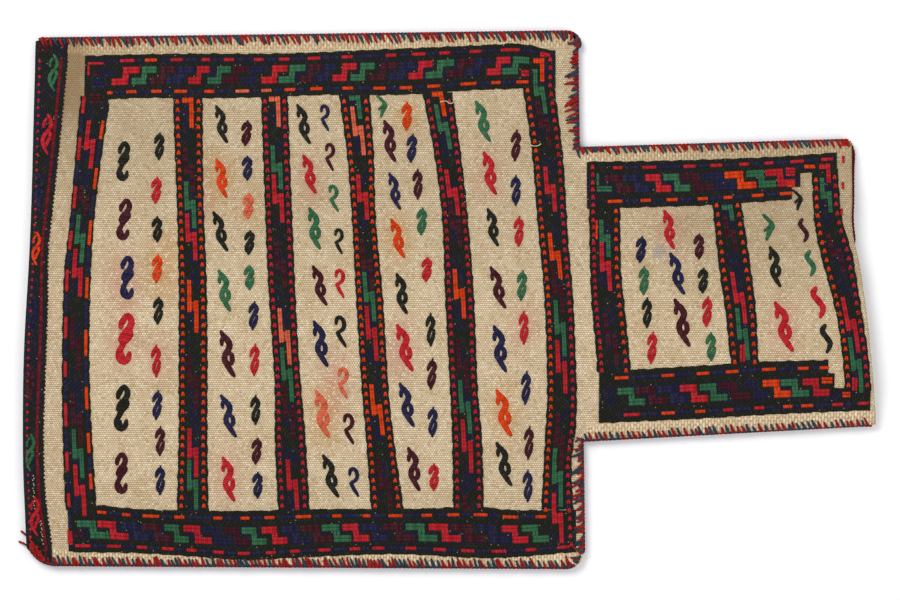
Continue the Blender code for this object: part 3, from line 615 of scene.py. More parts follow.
# Small patches in the corners of the bands: colour, then X and Y of two opposite corners
BLOCKS = (
    ("r", 204.2, -31.2, 208.4, -44.6),
    ("r", -254.7, 165.2, -242.6, 167.3),
    ("r", -254.7, 157.5, -252.9, 165.2),
    ("m", -250.7, 157.5, -245.8, 161.0),
    ("m", -253.2, 137.5, -244.0, 144.9),
    ("n", -251.8, 148.4, -241.9, 153.6),
    ("n", -242.6, 156.8, -234.2, 160.6),
    ("r", -268.7, -172.9, -267.0, -161.7),
    ("m", -264.4, -168.0, -257.4, -163.1),
    ("n", -263.7, -151.2, -260.2, -137.9),
    ("r", 50.6, 156.8, 56.3, 161.7),
    ("r", 64.0, 170.8, 71.7, 173.2),
    ("r", 64.0, 165.9, 65.7, 170.8),
    ("m", -290.6, 173.9, -282.0, 179.6),
    ("o", 249.7, 91.9, 258.1, 95.1),
    ("r", 236.7, 86.6, 243.7, 93.0),
    ("o", 237.7, 78.9, 243.3, 83.4),
    ("r", 276.8, 95.8, 278.6, 101.4),
    ("r", 276.1, 77.5, 277.9, 82.7),
    ("r", 275.0, 59.2, 276.8, 64.1),
    ("r", 276.4, 108.1, 282.4, 111.6),
    ("g", 103.6, 75.6, 115.2, 79.9),
    ("g", 103.6, 79.9, 105.8, 88.9),
    ("o", 102.9, 41.7, 104.6, 56.5),
    ("r", 283.3, -64.4, 287.3, -54.3),
    ("o", 276.6, -69.1, 282.6, -64.9),
    ("o", 261.8, -59.3, 270.0, -54.5),
)

# Leaves on the band round the fold: colour, X and Y of the middle, height
FOLD_LEAVES = (
    ("g", -278.5, 159.6, 26.6),
    ("r", -282.7, 116.2, 28.7),
    ("n", -288.4, 76.3, 25.2),
    ("o", -290.5, 35.7, 23.8),
    ("n", -292.9, -11.2, 25.2),
    ("m", -294.7, -59.5, 25.2),
    ("g", -295.0, -107.8, 26.6),
    ("r", -291.5, -152.6, 28.0),
)

# Where the pale warp shows in rows of specks on that band: X and Y of both ends and a count
SPECK_RUNS = (
    (-297.6, -128.0, -297.0, -146.0, 10),
    (-292.6, -124.0, -292.0, -147.0, 14),
    (-287.4, -156.0, -286.4, -172.0, 11),
)

# Loose yarn ends: X, Y and Z along each; stray threads: X and Y
LOOSE_YARN = 0.00075
LOOSE_PLY = 0.18
LOOSE_TWIST = 2600.0
LOOSE_STATIONS = 24
STRAY_YARN = 0.00036
LOOSE_ENDS = (
    ((-284.8, -183.4, 3.5), (-290.5, -175.0, 4.0), (-296.1, -168.7, 3.2), (-302.5, -163.7, 1.2)),
    ((-285.5, -182.7, 3.0), (-292.6, -177.8, 4.0), (-298.2, -173.6, 2.6), (-304.1, -171.1, 1.2)),
    ((-284.8, -184.1, 3.0), (-289.8, -179.2, 5.0), (-294.0, -175.0, 5.4), (-295.0, -171.8, 4.0)),
    ((-287.6, -181.3, 3.5), (-291.9, -173.6, 5.6), (-294.0, -172.2, 5.0), (-292.6, -177.1, 4.2)),
    ((-286.2, -184.1, 3.6), (-291.2, -180.6, 5.4), (-292.6, -175.0, 5.2), (-289.1, -174.3, 5.0)),
)
STRAY_THREADS = (
    ((-6.3, 138.6), (-2.1, 139.3), (0.7, 137.5), (4.2, 138.6)),
    ((57.0, 108.5), (59.8, 107.8), (62.6, 108.1), (64.7, 109.5)),
)


def clamp(value):
    """The value, held between nought and one."""
    return np.clip(value, 0.0, 1.0)


def ease(share):
    """A smooth step: three times the clamped share squared, less twice its cube."""
    share = clamp(share)
    return share * share * (3 - 2 * share)


def roll(distance, reach):
    """Nought at a seam, rising as a quarter sine to one at the reach."""
    return np.sin(0.5 * math.pi * clamp(distance / reach))


def curve(stations, values, place):
    """A smooth curve through values at rising stations: a cubic on each span whose slope at
    a station is that between its two neighbours, held level past the ends."""
    stations = np.asarray(stations, float)
    values = np.asarray(values, float)
    last = len(stations) - 1
    place = np.clip(place, stations[0], stations[-1])
    i = np.clip(np.searchsorted(stations, place, side="right") - 1, 0, last - 1)
    before = np.maximum(i - 1, 0)
    after = np.minimum(i + 2, last)
    span = stations[i + 1] - stations[i]
    slope_a = (values[i + 1] - values[before]) / (stations[i + 1] - stations[before]) * span
    slope_b = (values[after] - values[i]) / (stations[after] - stations[i]) * span
    t = (place - stations[i]) / span
    rise = t * t * (3 - 2 * t)
    bend = slope_a * t * (1 - t) ** 2 + slope_b * t * t * (t - 1)
    return values[i] + (values[i + 1] - values[i]) * rise + bend


def table_curve(table, place):
    """The smooth curve through a table of (station, value) pairs in millimetres."""
    rows = sorted(table)
    return MM * curve([MM * a for a, _ in rows], [b for _, b in rows], place)


def round_drop(distance, radius):
    """How far a rounded corner has drawn in, at a distance from the corner's other edge."""
    left = radius - np.clip(distance, 0.0, radius)
    return radius - np.sqrt(radius * radius - left * left)


def fold_x(y):
    """How far the fold line bows in; lengths along the bag start from its furthest point."""
    return curve(np.linspace(-1, 1, len(FOLD_BOW)), FOLD_BOW, 2 * y / BODY_WIDTH)


def fold_round(side):
    """The rounding of the corner between the fold and one side."""
    return LEFT_FOLD_ROUND if side > 0 else RIGHT_FOLD_ROUND


def side_y(x, side):
    """The body's long edge at a length x along the bag; side is +1 or -1."""
    share = clamp(x / BODY_LENGTH)
    half = 0.5 * (BODY_WIDTH - BODY_TAPER * (1 - share))
    half = half + (LOWER_SIDE_EXTRA if side < 0 else UPPER_SIDE_SLANT * (share - SLANT_TURNS_AT))
    return side * (half - round_drop(x - fold_x(side * half), fold_round(side)))


def neck_y(x, side):
    """The neck's long edge at a length x along the bag: it narrows and drifts to the mouth."""
    along = clamp((x - BODY_LENGTH) / NECK_LENGTH)
    extra = NECK_LOWER_EXTRA if side < 0 else 0.0
    half = 0.5 * (NECK_WIDTH - NECK_TAPER * along) + extra * along
    return NECK_OFFSET + NECK_DRIFT * along + side * half


def shoulder_x(y):
    """The shoulders' slanted line."""
    return BODY_LENGTH - SHOULDER_SLANT * y / BODY_WIDTH


def mouth_x(y):
    """The straight line between the mouth's two corners."""
    return BAG_LENGTH - MOUTH_SLANT * (y - NECK_OFFSET - NECK_DRIFT) / NECK_WIDTH


def mouth_share(y):
    """A place across the mouth, from -1 at its right corner to 1 at its left one."""
    return (y - NECK_OFFSET - NECK_DRIFT) / (0.5 * NECK_WIDTH)


def mouth_bow(y):
    """How far the front lip's edge bows in from a straight line between the mouth's corners."""
    return MM * curve([a for a, _ in MOUTH_BOW], [b for _, b in MOUTH_BOW], mouth_share(y))


def back_lip_bow(y):
    """The same for the back lip: it shows past the front's where the front bows in most."""
    share = mouth_share(y)
    shown = (ease((share - BACK_LIP_RUN[0]) / BACK_LIP_FADES[0])
             * ease((BACK_LIP_RUN[1] - share) / BACK_LIP_FADES[1]))
    return mouth_bow(y) + BACK_LIP_HIDDEN - (BACK_LIP_HIDDEN + BACK_LIP_SHOWN) * shown


def room(x, y):
    """The free height between the walls: a rolled pouch joined to a rolled neck."""
    share = FOLD_DEPTH / POUCH_DEPTH
    body = roll(side_y(x, 1) - y, SIDE_ROLL) * roll(y - side_y(x, -1), SIDE_ROLL)
    body = body * roll(shoulder_x(y) - x, SIDE_ROLL)
    body = body * (share + (1 - share) * roll(x - fold_x(y), SIDE_ROLL))
    neck = roll(neck_y(x, 1) - y, NECK_ROLL) * roll(y - neck_y(x, -1), NECK_ROLL)
    neck = neck * NECK_DEPTH / POUCH_DEPTH * ease((x - shoulder_x(y)) / MOUTH_REACH + 1)
    return SEAM_GAP + POUCH_DEPTH * (1 - (1 - body) * (1 - neck))


def seam_distance(x, y):
    """The distance in plan to the nearest stitched edge."""
    across = np.minimum(side_y(x, 1) - y, y - side_y(x, -1))
    ahead = shoulder_x(y) - x
    body = np.minimum(across, ahead)
    corner = (body > 0) & (np.maximum(across, ahead) < SHOULDER_ROUND)
    rounded = SHOULDER_ROUND - np.hypot(SHOULDER_ROUND - across, SHOULDER_ROUND - ahead)
    body = np.where(corner, rounded, body)
    neck = np.minimum(neck_y(x, 1) - y, y - neck_y(x, -1))
    return np.where(x < BODY_LENGTH - NECK_ROLL, across, np.maximum(body, neck))


def lift(x, y):
    """The yarn round the edges holds them this far off the floor."""
    return EDGE_LIFT * (1 - ease((seam_distance(x, y) - EDGE_FLAT) / EDGE_FALL))


def swell(x, y):
    """Soft unevenness of the front: four crossed waves that die out towards the seams."""
    total = sum(a * np.sin(p * x + q * y + r) for a, p, q, r in SWELLS)
    return total * roll(seam_distance(x, y), SWELL_REACH)


def sheet_point(reach, y, height):
    """A point of the flat sheet carried to the folded bag. reach is from the fold line, below
    nought on the back; height is above the cloth's inner face. Round the fold the point turns
    about the middle of the room, and past it the wall runs straight."""
    x = fold_x(y) + np.abs(reach)
    gap = room(x, y)
    base = lift(x, y)
    turn = 0.5 * gap + CLOTH_THICKNESS
    angle = 0.5 * math.pi * np.clip(reach / turn, -1, 1)
    radius = 0.5 * gap + height
    middle = base + CLOTH_THICKNESS + 0.5 * gap
    z_round = middle + radius * np.sin(angle)
    x_round = fold_x(y) + turn - radius * np.cos(angle)
    z_flat = np.where(reach > 0, middle + radius, middle - radius)
    bent = np.abs(reach) < turn
    z = np.where(bent, z_round, z_flat) + np.where(reach > 0, swell(x, y), 0.0)
    return np.stack([np.where(bent, x_round, x) - SHIFT, y, z], -1)


def top(x, y, rise):
    """The height of the front at X, Y, at a rise above the cloth's outer face."""
    along = x + SHIFT
    gap = room(along, y)
    turn = 0.5 * gap + CLOTH_THICKNESS
    radius = turn + rise
    inside = np.maximum(turn - (along - fold_x(y)), 0.0)
    bent = np.sqrt(np.maximum(radius * radius - inside * inside, 0.0))
    return lift(along, y) + CLOTH_THICKNESS + 0.5 * gap + bent + swell(along, y)


def laid(x, y, rise):
    """Points of the front at X, Y, at a rise above the cloth's outer face."""
    return np.stack(np.broadcast_arrays(x, y, top(x, y, rise)), -1)


# Meshes


def new_mesh(name, points, quads, uv=None, values=None):
    """A mesh from an array of points and one of quads, with its UV in metres on the bag."""
    mesh = bpy.data.meshes.new(name)
    points = np.asarray(points, np.float32)
    quads = np.asarray(quads, np.int32)
    mesh.vertices.add(len(points))
    mesh.vertices.foreach_set("co", points.ravel())
    mesh.loops.add(quads.size)
    mesh.loops.foreach_set("vertex_index", quads.ravel())
    mesh.polygons.add(len(quads))
    mesh.polygons.foreach_set("loop_start", np.arange(0, quads.size, 4, dtype=np.int32))
    mesh.polygons.foreach_set("loop_total", np.full(len(quads), 4, np.int32))
    mesh.update(calc_edges=True)
    mesh.shade_smooth()
    layer = mesh.uv_layers.new(name="bag")
    uv = points[:, :2] if uv is None else np.asarray(uv, np.float32)
    layer.data.foreach_set("uv", uv[quads.ravel()].ravel())
    for key, data in (values or {}).items():
        attribute = mesh.attributes.new(key, "FLOAT", "POINT")
        attribute.data.foreach_set("value", np.asarray(data, np.float32).ravel())
    piece = bpy.data.objects.new(name, mesh)
    bpy.context.scene.collection.objects.link(piece)
    return piece


def grid_quads(count, rows, columns, closed=False):
    """Quads of many equal grids of points, row by row; closed joins each row's two ends."""
    row = np.arange(rows - 1)
    column = np.arange(columns if closed else columns - 1)
    r, c = np.meshgrid(row, column, indexing="ij")
    after = (c + 1) % columns
    one = np.stack([r * columns + c, r * columns + after,
                    (r + 1) * columns + after, (r + 1) * columns + c], -1).reshape(-1, 4)
    starts = np.arange(count)[:, None, None] * rows * columns
    return (one[None] + starts).reshape(-1, 4)


def facing_up(points, quads):
    """The same quads, turned over as one if their normals point down on the whole."""
    a, b, c = (points[quads[:, k]] for k in (0, 1, 2))
    up = np.cross(b - a, c - a)[:, 2].sum()
    return quads if up > 0 else quads[:, ::-1]


def join(parts):
    """Several (points, quads, uv, values) into one."""
    points, quads, uvs, values = [], [], [], []
    start = 0
    for p, q, u, v in parts:
        points.append(p)
        quads.append(q + start)
        uvs.append(u)
        values.append(v)
        start += len(p)
    keys = values[0].keys()
    return (np.concatenate(points), np.concatenate(quads), np.concatenate(uvs),
            {key: np.concatenate([v[key] for v in values]) for key in keys})


# The cloth


def stations(spans):
    """Rising places from (end, step) spans, each split evenly."""
    found = [0.0]
    for end, step in spans:
        count = max(round((end - found[-1]) / step), 1)
        found += list(np.linspace(found[-1], end, count + 1)[1:])
    return np.array(found)


def cloth_grid():
    """The sheet's rows, as shares of the body and then of the neck, below nought on the back;
    its columns, as places across the body; and the neck's two edges where they meet it. Rows
    crowd in where a corner is round."""
    body = stations(BODY_ROWS)
    neck = stations(NECK_ROWS)
    share = np.concatenate([body / BODY_LENGTH, 1 + neck[1:] / NECK_LENGTH])
    share = np.concatenate([-share[:0:-1], share])
    half = 0.5 * BODY_WIDTH
    root = [neck_y(BODY_LENGTH, side) for side in (-1, 1)]
    width = [-half] + root + [half]
    columns = [np.linspace(a, b, round((b - a) / s) + 1)[1:]
               for a, b, s in zip(width, width[1:], COLUMN_STEPS)]
    return share, np.concatenate([[-half], *columns]), root


def cloth_plan(share, columns, root):
    """Where each point of the grid lies: its reach from the fold line, its length along the
    bag and its Y. The columns beside the neck spread from its edge to the body's."""
    half = 0.5 * BODY_WIDTH
    part = np.abs(share)[:, None]
    across = columns[None, :]
    length = BODY_LENGTH * np.minimum(part, 1) + NECK_LENGTH * np.maximum(part - 1, 0)
    ends = []
    for side in (-1, 1):
        start, end = fold_x(side * half), shoulder_x(side * half)
        along = start + (end - start) * np.minimum(part, 1)
        ends.append(side_y(along, side) - side * round_drop(end - along, SHOULDER_ROUND))
    low, high = ends
    neck_low, neck_high = neck_y(length, -1), neck_y(length, 1)
    lower = neck_low + (across - root[0]) * (neck_low - low) / (root[0] + half)
    upper = neck_high + (across - root[1]) * (high - neck_high) / (half - root[1])
    inner = neck_low + (across - root[0]) * (neck_high - neck_low) / (root[1] - root[0])
    y = np.where(across < root[0], lower, np.where(across > root[1], upper, inner))
    on_body = np.minimum(part, 1) * (shoulder_x(y) - fold_x(y))
    beyond = np.maximum(part - 1, 0) * (mouth_x(y) - shoulder_x(y))
    bow = np.where(share[:, None] < -1, -back_lip_bow(y), -mouth_bow(y))
    bow = bow * np.maximum(part - 1, 0) ** 2
    reach = np.sign(share)[:, None] * (on_body + beyond + bow)
    return reach, on_body + beyond + fold_x(y), np.broadcast_to(y, reach.shape)


def cloth_faces(share, columns, root):
    """Quads of the outer face, of the inner face below it and of the rim that joins them. The
    two corners of the grid beside each neck are left out."""
    part = np.abs(share)
    first, last = (int(np.argmin(abs(columns - y))) for y in root)
    column = np.arange(len(columns) - 1)[None, :]
    in_neck = (column >= first) & (column < last)
    on_body = np.maximum(part[1:], part[:-1])[:, None] <= 1 + 1e-9
    kept = on_body | in_neck
    index = np.arange(len(share) * len(columns)).reshape(len(share), len(columns))
    layer = index.size
    face = np.stack([index[:-1, :-1], index[1:, :-1], index[1:, 1:], index[:-1, 1:]], -1)[kept]
    quads = [face, face[:, ::-1] + layer]
    padded = np.pad(kept, 1)
    row_steps = padded[1:, 1:-1].astype(int) - padded[:-1, 1:-1]
    column_steps = padded[1:-1, 1:].astype(int) - padded[1:-1, :-1]
    for steps, p, q, turned in (
        (row_steps, index[:, :-1], index[:, 1:], False),
        (column_steps, index[:-1, :], index[1:, :], True),
    ):
        for sign in (1, -1):
            a, b = p[steps == sign], q[steps == sign]
            if (sign > 0) == turned:
                a, b = b, a
            quads.append(np.stack([a, b, b + layer, a + layer], -1))
    return np.concatenate(quads)


def make_cloth():
    """The whole woven sheet as one closed shell: its outer and inner faces, each a grid of
    rows up the bag by columns across it, joined along every edge."""
    share, columns, root = cloth_grid()
    reach, length, y = cloth_plan(share, columns, root)
    points = np.concatenate([sheet_point(reach, y, height).reshape(-1, 3)
                             for height in (CLOTH_THICKNESS, 0.0)])
    flat = np.stack([reach + np.where(reach > 0, fold_x(y), -fold_x(y)), y], -1).reshape(-1, 2)
    flat = np.concatenate([flat, flat]) - (SHIFT, 0.0)
    body_seam = np.minimum(side_y(length, 1) - y, y - side_y(length, -1))
    neck_seam = np.minimum(neck_y(length, 1) - y, y - neck_y(length, -1))
    seam = np.where(np.abs(share)[:, None] <= 1, body_seam, neck_seam)
    comb = (1 - ease((seam - COMB_REACH) / COMB_FADE)).reshape(-1)
    comb = np.concatenate([comb, comb])
    quads = cloth_faces(share, columns, root)
    used = np.unique(quads)
    renumber = np.full(len(points), -1)
    renumber[used] = np.arange(len(used))
    return new_mesh("woven_cloth", points[used], renumber[quads], flat[used],
                    {"lane": comb[used]})


# Raised bands


def waver(place, turn):
    """The small unevenness of a band's edge: three waves of a few rows each."""
    return sum(a * np.sin(f * place + turn + k) for k, (a, f) in enumerate(EDGE_WAVES))


def strip(start, end, low_edge, high_edge, along, lanes):
    """A raised band between two edges, from start to end in millimetres. along is "x" or "y",
    the way it runs, and the edges give the other coordinate. Its height is a row of rounded
    lanes, and its long sides go down into the cloth. Its values say which lanes are figured."""
    start, end = MM * start, MM * end
    s = np.linspace(start, end, max(round(abs(end - start) / BAND_ROW), 2) + 1)
    low = low_edge(s) + waver(s, 0.3)
    high = high_edge(s) + waver(s, 1.9)
    bounds = np.cumsum((0.0,) + lanes)
    places, heights, figured = [0.0], [BAND_FOOT], [0.0]
    for k, (a, b) in enumerate(zip(bounds, bounds[1:])):
        for t in LANE_SHARES:
            places.append(a + (b - a) * t)
            heights.append(LANE_LOW + (1 - LANE_LOW) * math.sin(math.pi * t))
            figured.append(float(k % 2))
    share = np.array(places + [bounds[-1]]) / bounds[-1]
    rise = BAND_RISE * np.array(heights + [BAND_FOOT])
    v = low[:, None] + (high - low)[:, None] * share[None, :]
    u = np.broadcast_to(s[:, None], v.shape)
    x, y = (u, v) if along == "x" else (v, u)
    points = laid(x, y, np.broadcast_to(rise[None, :], v.shape)).reshape(-1, 3)
    quads = facing_up(points, grid_quads(1, len(s), len(share)))
    tint = np.broadcast_to(np.array(figured + [0.0])[None, :], v.shape).reshape(-1)
    return points, quads, points[:, :2], {"lane": tint}


def long_band(start, end, outer, inner, lanes):
    """A band along the bag, whose lanes are listed from its outer edge inwards."""
    if outer(MM * start) > inner(MM * start):
        return strip(start, end, inner, outer, "x", lanes[::-1])
    return strip(start, end, outer, inner, "x", lanes)


def edge_of(table):
    """A band's edge as a function, from its table."""
    return lambda s: table_curve(table, s)


def beside(edge, offset):
    """An edge moved across its band, as a function."""
    return lambda s: edge(s) + offset


def band_edges():
    """Both edges of every band as functions: the outer one first for those that run along
    the bag, and the left one first for those across it."""
    tables = {
        "top": (FRAME_TOP, FIELDS_TOP), "low": (FRAME_LOW, FIELDS_LOW),
        "neck_top": (NECK_TOP, NECK_TOP_IN), "neck_low": (NECK_LOW, NECK_LOW_IN),
        "left": (FRAME_LEFT, FRAME_LEFT_IN), "right": (FRAME_RIGHT_IN, FRAME_RIGHT),
        "neck_left": (NECK_LEFT, NECK_LEFT_IN), "neck_right": (NECK_RIGHT_IN, NECK_RIGHT),
        "neck_stripe": (NECK_STRIPE_LEFT, NECK_STRIPE_RIGHT),
    }
    tables.update({f"stripe_{k}": pair for k, pair in enumerate(STRIPES)})
    return {name: [edge_of(table) for table in pair] for name, pair in tables.items()}


# Yarn laid on the cloth


def run_along(paths):
    """The distance from each yarn's start to its stations."""
    steps = np.linalg.norm(np.diff(paths, axis=1), axis=-1)
    return np.concatenate([np.zeros((len(paths), 1)), np.cumsum(steps, axis=1)], 1)


def seed_of(count):
    """A value for each yarn, so that no two neighbours have the same shades."""
    return np.arange(count) * 0.37 % 1.0


def pinched(beat, waist):
    """A yarn's size along it: its waist between two wraps and full in the middle of one."""
    return waist + (1 - waist) * beat


def cords(paths, width, height, rise, pitch=WRAP, end=YARN_END):
    """Half-round yarns laid on the cloth. paths is [yarn, station, XY], width is the half
    width at every station. The section is the upper half of an oval, fuller than an ellipse,
    and its height and width swell and sink once in each wrap of the yarn round the warps."""
    paths = np.asarray(paths, float)
    count, rows = paths.shape[:2]
    ahead = np.gradient(paths, axis=1)
    ahead /= np.linalg.norm(ahead, axis=-1, keepdims=True) + 1e-12
    aside = np.stack([-ahead[..., 1], ahead[..., 0]], -1)
    run = run_along(paths)
    beat = np.abs(np.sin(math.pi * run / pitch))
    width = np.broadcast_to(width, (count, rows)) * pinched(beat, 0.86)
    height = np.broadcast_to(height, (count, rows)) * pinched(beat, 0.70)
    closing = np.ones(rows)
    closing[0] = closing[-1] = end
    angle = np.linspace(0, math.pi, YARN_SECTION)
    out = np.cos(angle)[None, None, :] * (width * closing)[..., None]
    up = (np.sin(angle) ** 0.6)[None, None, :] * (height * closing)[..., None]
    spot = paths[..., None, :] + aside[..., None, :] * out[..., None]
    base = np.where(np.sin(angle) < 1e-6, -0.0005, 0.0)[None, None, :] + rise
    z = top(spot[..., 0], spot[..., 1], 0.0) + base + up
    points = np.concatenate([spot, z[..., None]], -1).reshape(-1, 3)
    quads = facing_up(points, grid_quads(count, rows, YARN_SECTION))
    uv = np.stack(np.broadcast_arrays(run[..., None], out), -1).reshape(-1, 2)
    seeds = np.broadcast_to(seed_of(count)[:, None, None], out.shape)
    return points, quads, uv, {"lane": seeds.reshape(-1)}


def resample(points, count):
    """Even stations along smooth curves: [yarn, corner, XY] to [yarn, count, XY]."""
    points = np.asarray(points, float)
    knots = np.linspace(0, 1, points.shape[1])
    place = np.linspace(0, 1, count)
    columns = points.transpose(0, 2, 1).reshape(-1, points.shape[1])
    found = np.array([curve(knots, column, place) for column in columns])
    return found.reshape(points.shape[0], 2, count).transpose(0, 2, 1)


def straight(a, b, count):
    """Even stations on straight runs from a to b, both [yarn, XY]."""
    t = np.linspace(0, 1, count)[None, :, None]
    a, b = np.asarray(a, float)[:, None, :], np.asarray(b, float)[:, None, :]
    return a + (b - a) * t


class Figures:
    """Collects the yarn of each colour until its piece is made."""

    def __init__(self):
        self.parts = {letter: [] for letter in COLOURS}

    def add(self, letters, paths, width, height=YARN_HIGH, rise=FIGURE_RISE, **more):
        """Lay yarns, each in its own colour."""
        letters = np.asarray(letters)
        width = np.broadcast_to(width, np.asarray(paths).shape[:2])
        for letter in sorted(set(letters)):
            chosen = letters == letter
            self.parts[letter].append(
                cords(np.asarray(paths)[chosen], width[chosen], height, rise, **more))

    def make(self, materials):
        """One piece for each colour that was used."""
        pieces = []
        for letter, parts in self.parts.items():
            if parts:
                name, _ = COLOURS[letter]
                piece = new_mesh(f"{name}_figures", *join(parts))
                piece.data.materials.append(materials[letter])
                pieces.append(piece)
        return pieces


# The pattern


def spread(pairs):
    """Starts and ends of a table of pairs, in metres."""
    table = MM * np.asarray(pairs, float)
    return table[:, 0], table[:, 1]


def in_turn(letters, count):
    """So many colours: the given ones over and over."""
    return (list(letters) * count)[:count]


def lane_y(edge, other_edge, share):
    """The place at a share of the way from one edge of a band to the other, as a function."""
    return lambda s: edge(s) + (other_edge(s) - edge(s)) * share


def cross_steps(figures, table, edges, slope):
    """Stepped figures along a band that runs along the bag: a bar on one side of the lane, a
    riser and a bar on the other side. Each bar is two yarns side by side."""
    letters = np.array([row[0] for row in table])
    start, end = spread([row[1:] for row in table])
    middle = lane_y(*edges, CROSS_MIDDLE)
    bar = CROSS_BAR * (end - start)
    t = np.linspace(0, 1, CROSS_STATIONS)[None, :]
    for side, a, b in ((-slope, start, start + bar), (slope, end - bar, end)):
        x = a[:, None] + (b - a)[:, None] * t
        for offset in CROSS_YARNS:
            figures.add(letters, np.stack([x, middle(x) + side * offset], -1), CROSS_YARN)
    overlap = 2 * bar - (end - start)
    t = np.linspace(-1, 1, RISER_STATIONS)[None, :]
    for offset in CROSS_RISER_YARNS:
        x = (0.5 * (start + end) + offset * overlap)[:, None] + 0.0 * t
        path = np.stack([x, middle(x) + CROSS_RISER_HALF * t], -1)
        figures.add(letters, path, CROSS_RISER_YARN * overlap[:, None])


def upright_steps(figures, table, edges):
    """Stepped figures up a band that runs across the bag: an upper bar on the left, a lower
    bar on the right and a riser where they pass. A row gives the colour, the Y of its upper
    and lower ends and its form: 1 has no upper bar and -1 no lower one."""
    letters = np.array([row[0] for row in table])
    high, low, form = (np.array([row[k] for row in table], float) for k in (1, 2, 3))
    high, low = MM * high, MM * low
    span = high - low
    middle = lane_y(*edges, 0.5)
    bar = np.where(form == 0, UPRIGHT_BAR * span, span)
    t = np.linspace(0, 1, UPRIGHT_STATIONS)[None, :]
    for side, start, missing in ((-1, high, 1), (1, low + bar, -1)):
        shown = form != missing
        y = (start[:, None] - bar[:, None] * t)[shown]
        for offset in UPRIGHT_YARNS:
            path = np.stack([middle(y) + side * offset, y], -1)
            figures.add(letters[shown], path, UPRIGHT_YARN)
    reach = np.where(form == 0, (UPRIGHT_BAR - 0.5) * span, UPRIGHT_STUB)
    centre = np.where(form == 0, 0.5 * (high + low), np.where(form > 0, high, low) - form * reach)
    y = centre[:, None] + reach[:, None] * np.linspace(-1, 1, RISER_STATIONS)[None, :]
    for offset in RISER_YARNS:
        figures.add(letters, np.stack([middle(y) + offset, y], -1), RISER_YARN)
    hooked = form > 0
    for offset in UPRIGHT_YARNS:
        path = np.stack([middle(y) - offset, y], -1)[hooked]
        if len(path):
            figures.add(letters[hooked], path, UPRIGHT_YARN)


def dashes(figures, letters, pairs, place, along="x"):
    """One flat yarn for each dash; place gives the other coordinate."""
    start, end = spread(pairs)
    t = np.linspace(0, 1, DASH_STATIONS)[None, :]
    s = start[:, None] + (end - start)[:, None] * t
    path = np.stack([s, place(s)] if along == "x" else [place(s), s], -1)
    figures.add(in_turn(letters, len(start)), path, DASH_YARN, DASH_HIGH)


def between(pairs):
    """The gaps between the pairs of a table of dashes, drawn in a little at both ends."""
    rows = sorted((min(pair), max(pair)) for pair in pairs)
    return [(a[1] + DASH_GAP, b[0] - DASH_GAP) for a, b in zip(rows, rows[1:])
            if b[0] - a[1] > 4 * DASH_GAP]


def dash_lane(figures, letters, pairs, place, along="x"):
    """A lane of dashes with navy ones in the gaps."""
    dashes(figures, letters, pairs, place, along)
    dashes(figures, "n", between(pairs), place, along)


def dots(figures, letter, start, end, place, pitch=DOT_PITCH):
    """Arrowheads up a lane, between two Y in millimetres: two short yarns that lean together
    at the top."""
    start, end = MM * start, MM * end
    steps = np.arange(max(int(abs(start - end) / pitch), 1))
    y = np.linspace(start, end, len(steps)) + 0.0002 * np.sin(steps * 2.4)
    x = place(y) + 0.00015 * np.sin(steps * 1.7)
    width = np.linspace(*DOT_YARN, DOT_STATIONS)[None, :]
    for side in (-1, 1):
        head, foot = (np.stack([x + side * out, y + up], -1) for out, up in (DOT_TOP, DOT_FOOT))
        yarns = straight(head, foot, DOT_STATIONS)
        figures.add([letter] * len(steps), yarns, width, DASH_HIGH, pitch=LONG_WRAP)


def blocks(figures, table):
    """Small patches of flat yarns: colour, X and Y of two opposite corners. The yarns run
    the long way, as many as fill the short way."""
    for letter, x0, y0, x1, y1 in table:
        a, b = MM * np.array([x0, y0]), MM * np.array([x1, y1])
        short = int(abs(b - a)[0] > abs(b - a)[1])
        wide = abs(b - a)[short]
        count = max(round(wide / PATCH_YARN), 1)
        t = (np.arange(count) + 0.5) / count
        starts, ends = np.tile(a, (count, 1)), np.tile(b, (count, 1))
        starts[:, short] = ends[:, short] = a[short] + (b - a)[short] * t
        yarns = straight(starts, ends, DASH_STATIONS)
        figures.add([letter] * count, yarns, PATCH_FILL * wide / count)


# The hooked figures: strands as (across, up, half width) in shares of a figure's height
TAILED_STRANDS = (
    ((-0.09, 0.50, 0.030), (-0.06, 0.40, 0.060), (0.02, 0.29, 0.072), (0.055, 0.18, 0.074),
     (0.01, 0.07, 0.072), (-0.055, -0.03, 0.068), (-0.07, -0.15, 0.070), (-0.02, -0.27, 0.068),
     (0.03, -0.38, 0.062), (0.09, -0.50, 0.040)),
    ((-0.04, 0.38, 0.046), (-0.09, 0.27, 0.054), (-0.10, 0.16, 0.034)),
    ((0.02, 0.03, 0.050), (0.075, -0.04, 0.056), (0.075, -0.15, 0.060), (0.02, -0.24, 0.060)),
)
DOUBLE_STRANDS = (
    ((-0.09, 0.18, 0.040), (-0.07, 0.31, 0.068), (0.03, 0.45, 0.054), (0.10, 0.34, 0.070),
     (0.08, 0.23, 0.074), (0.02, 0.14, 0.072)),
    ((0.09, 0.17, 0.052), (0.08, 0.07, 0.076), (0.0, -0.03, 0.080), (-0.08, -0.13, 0.052)),
    ((0.02, 0.18, 0.060), (-0.05, 0.05, 0.070), (-0.09, -0.07, 0.060)),
    ((0.02, 0.02, 0.066), (-0.05, -0.14, 0.062), (-0.11, -0.28, 0.066), (-0.09, -0.40, 0.068),
     (0.0, -0.455, 0.056), (0.07, -0.36, 0.064), (0.09, -0.24, 0.034)),
    ((-0.07, -0.26, 0.060), (-0.04, -0.41, 0.070)),
)
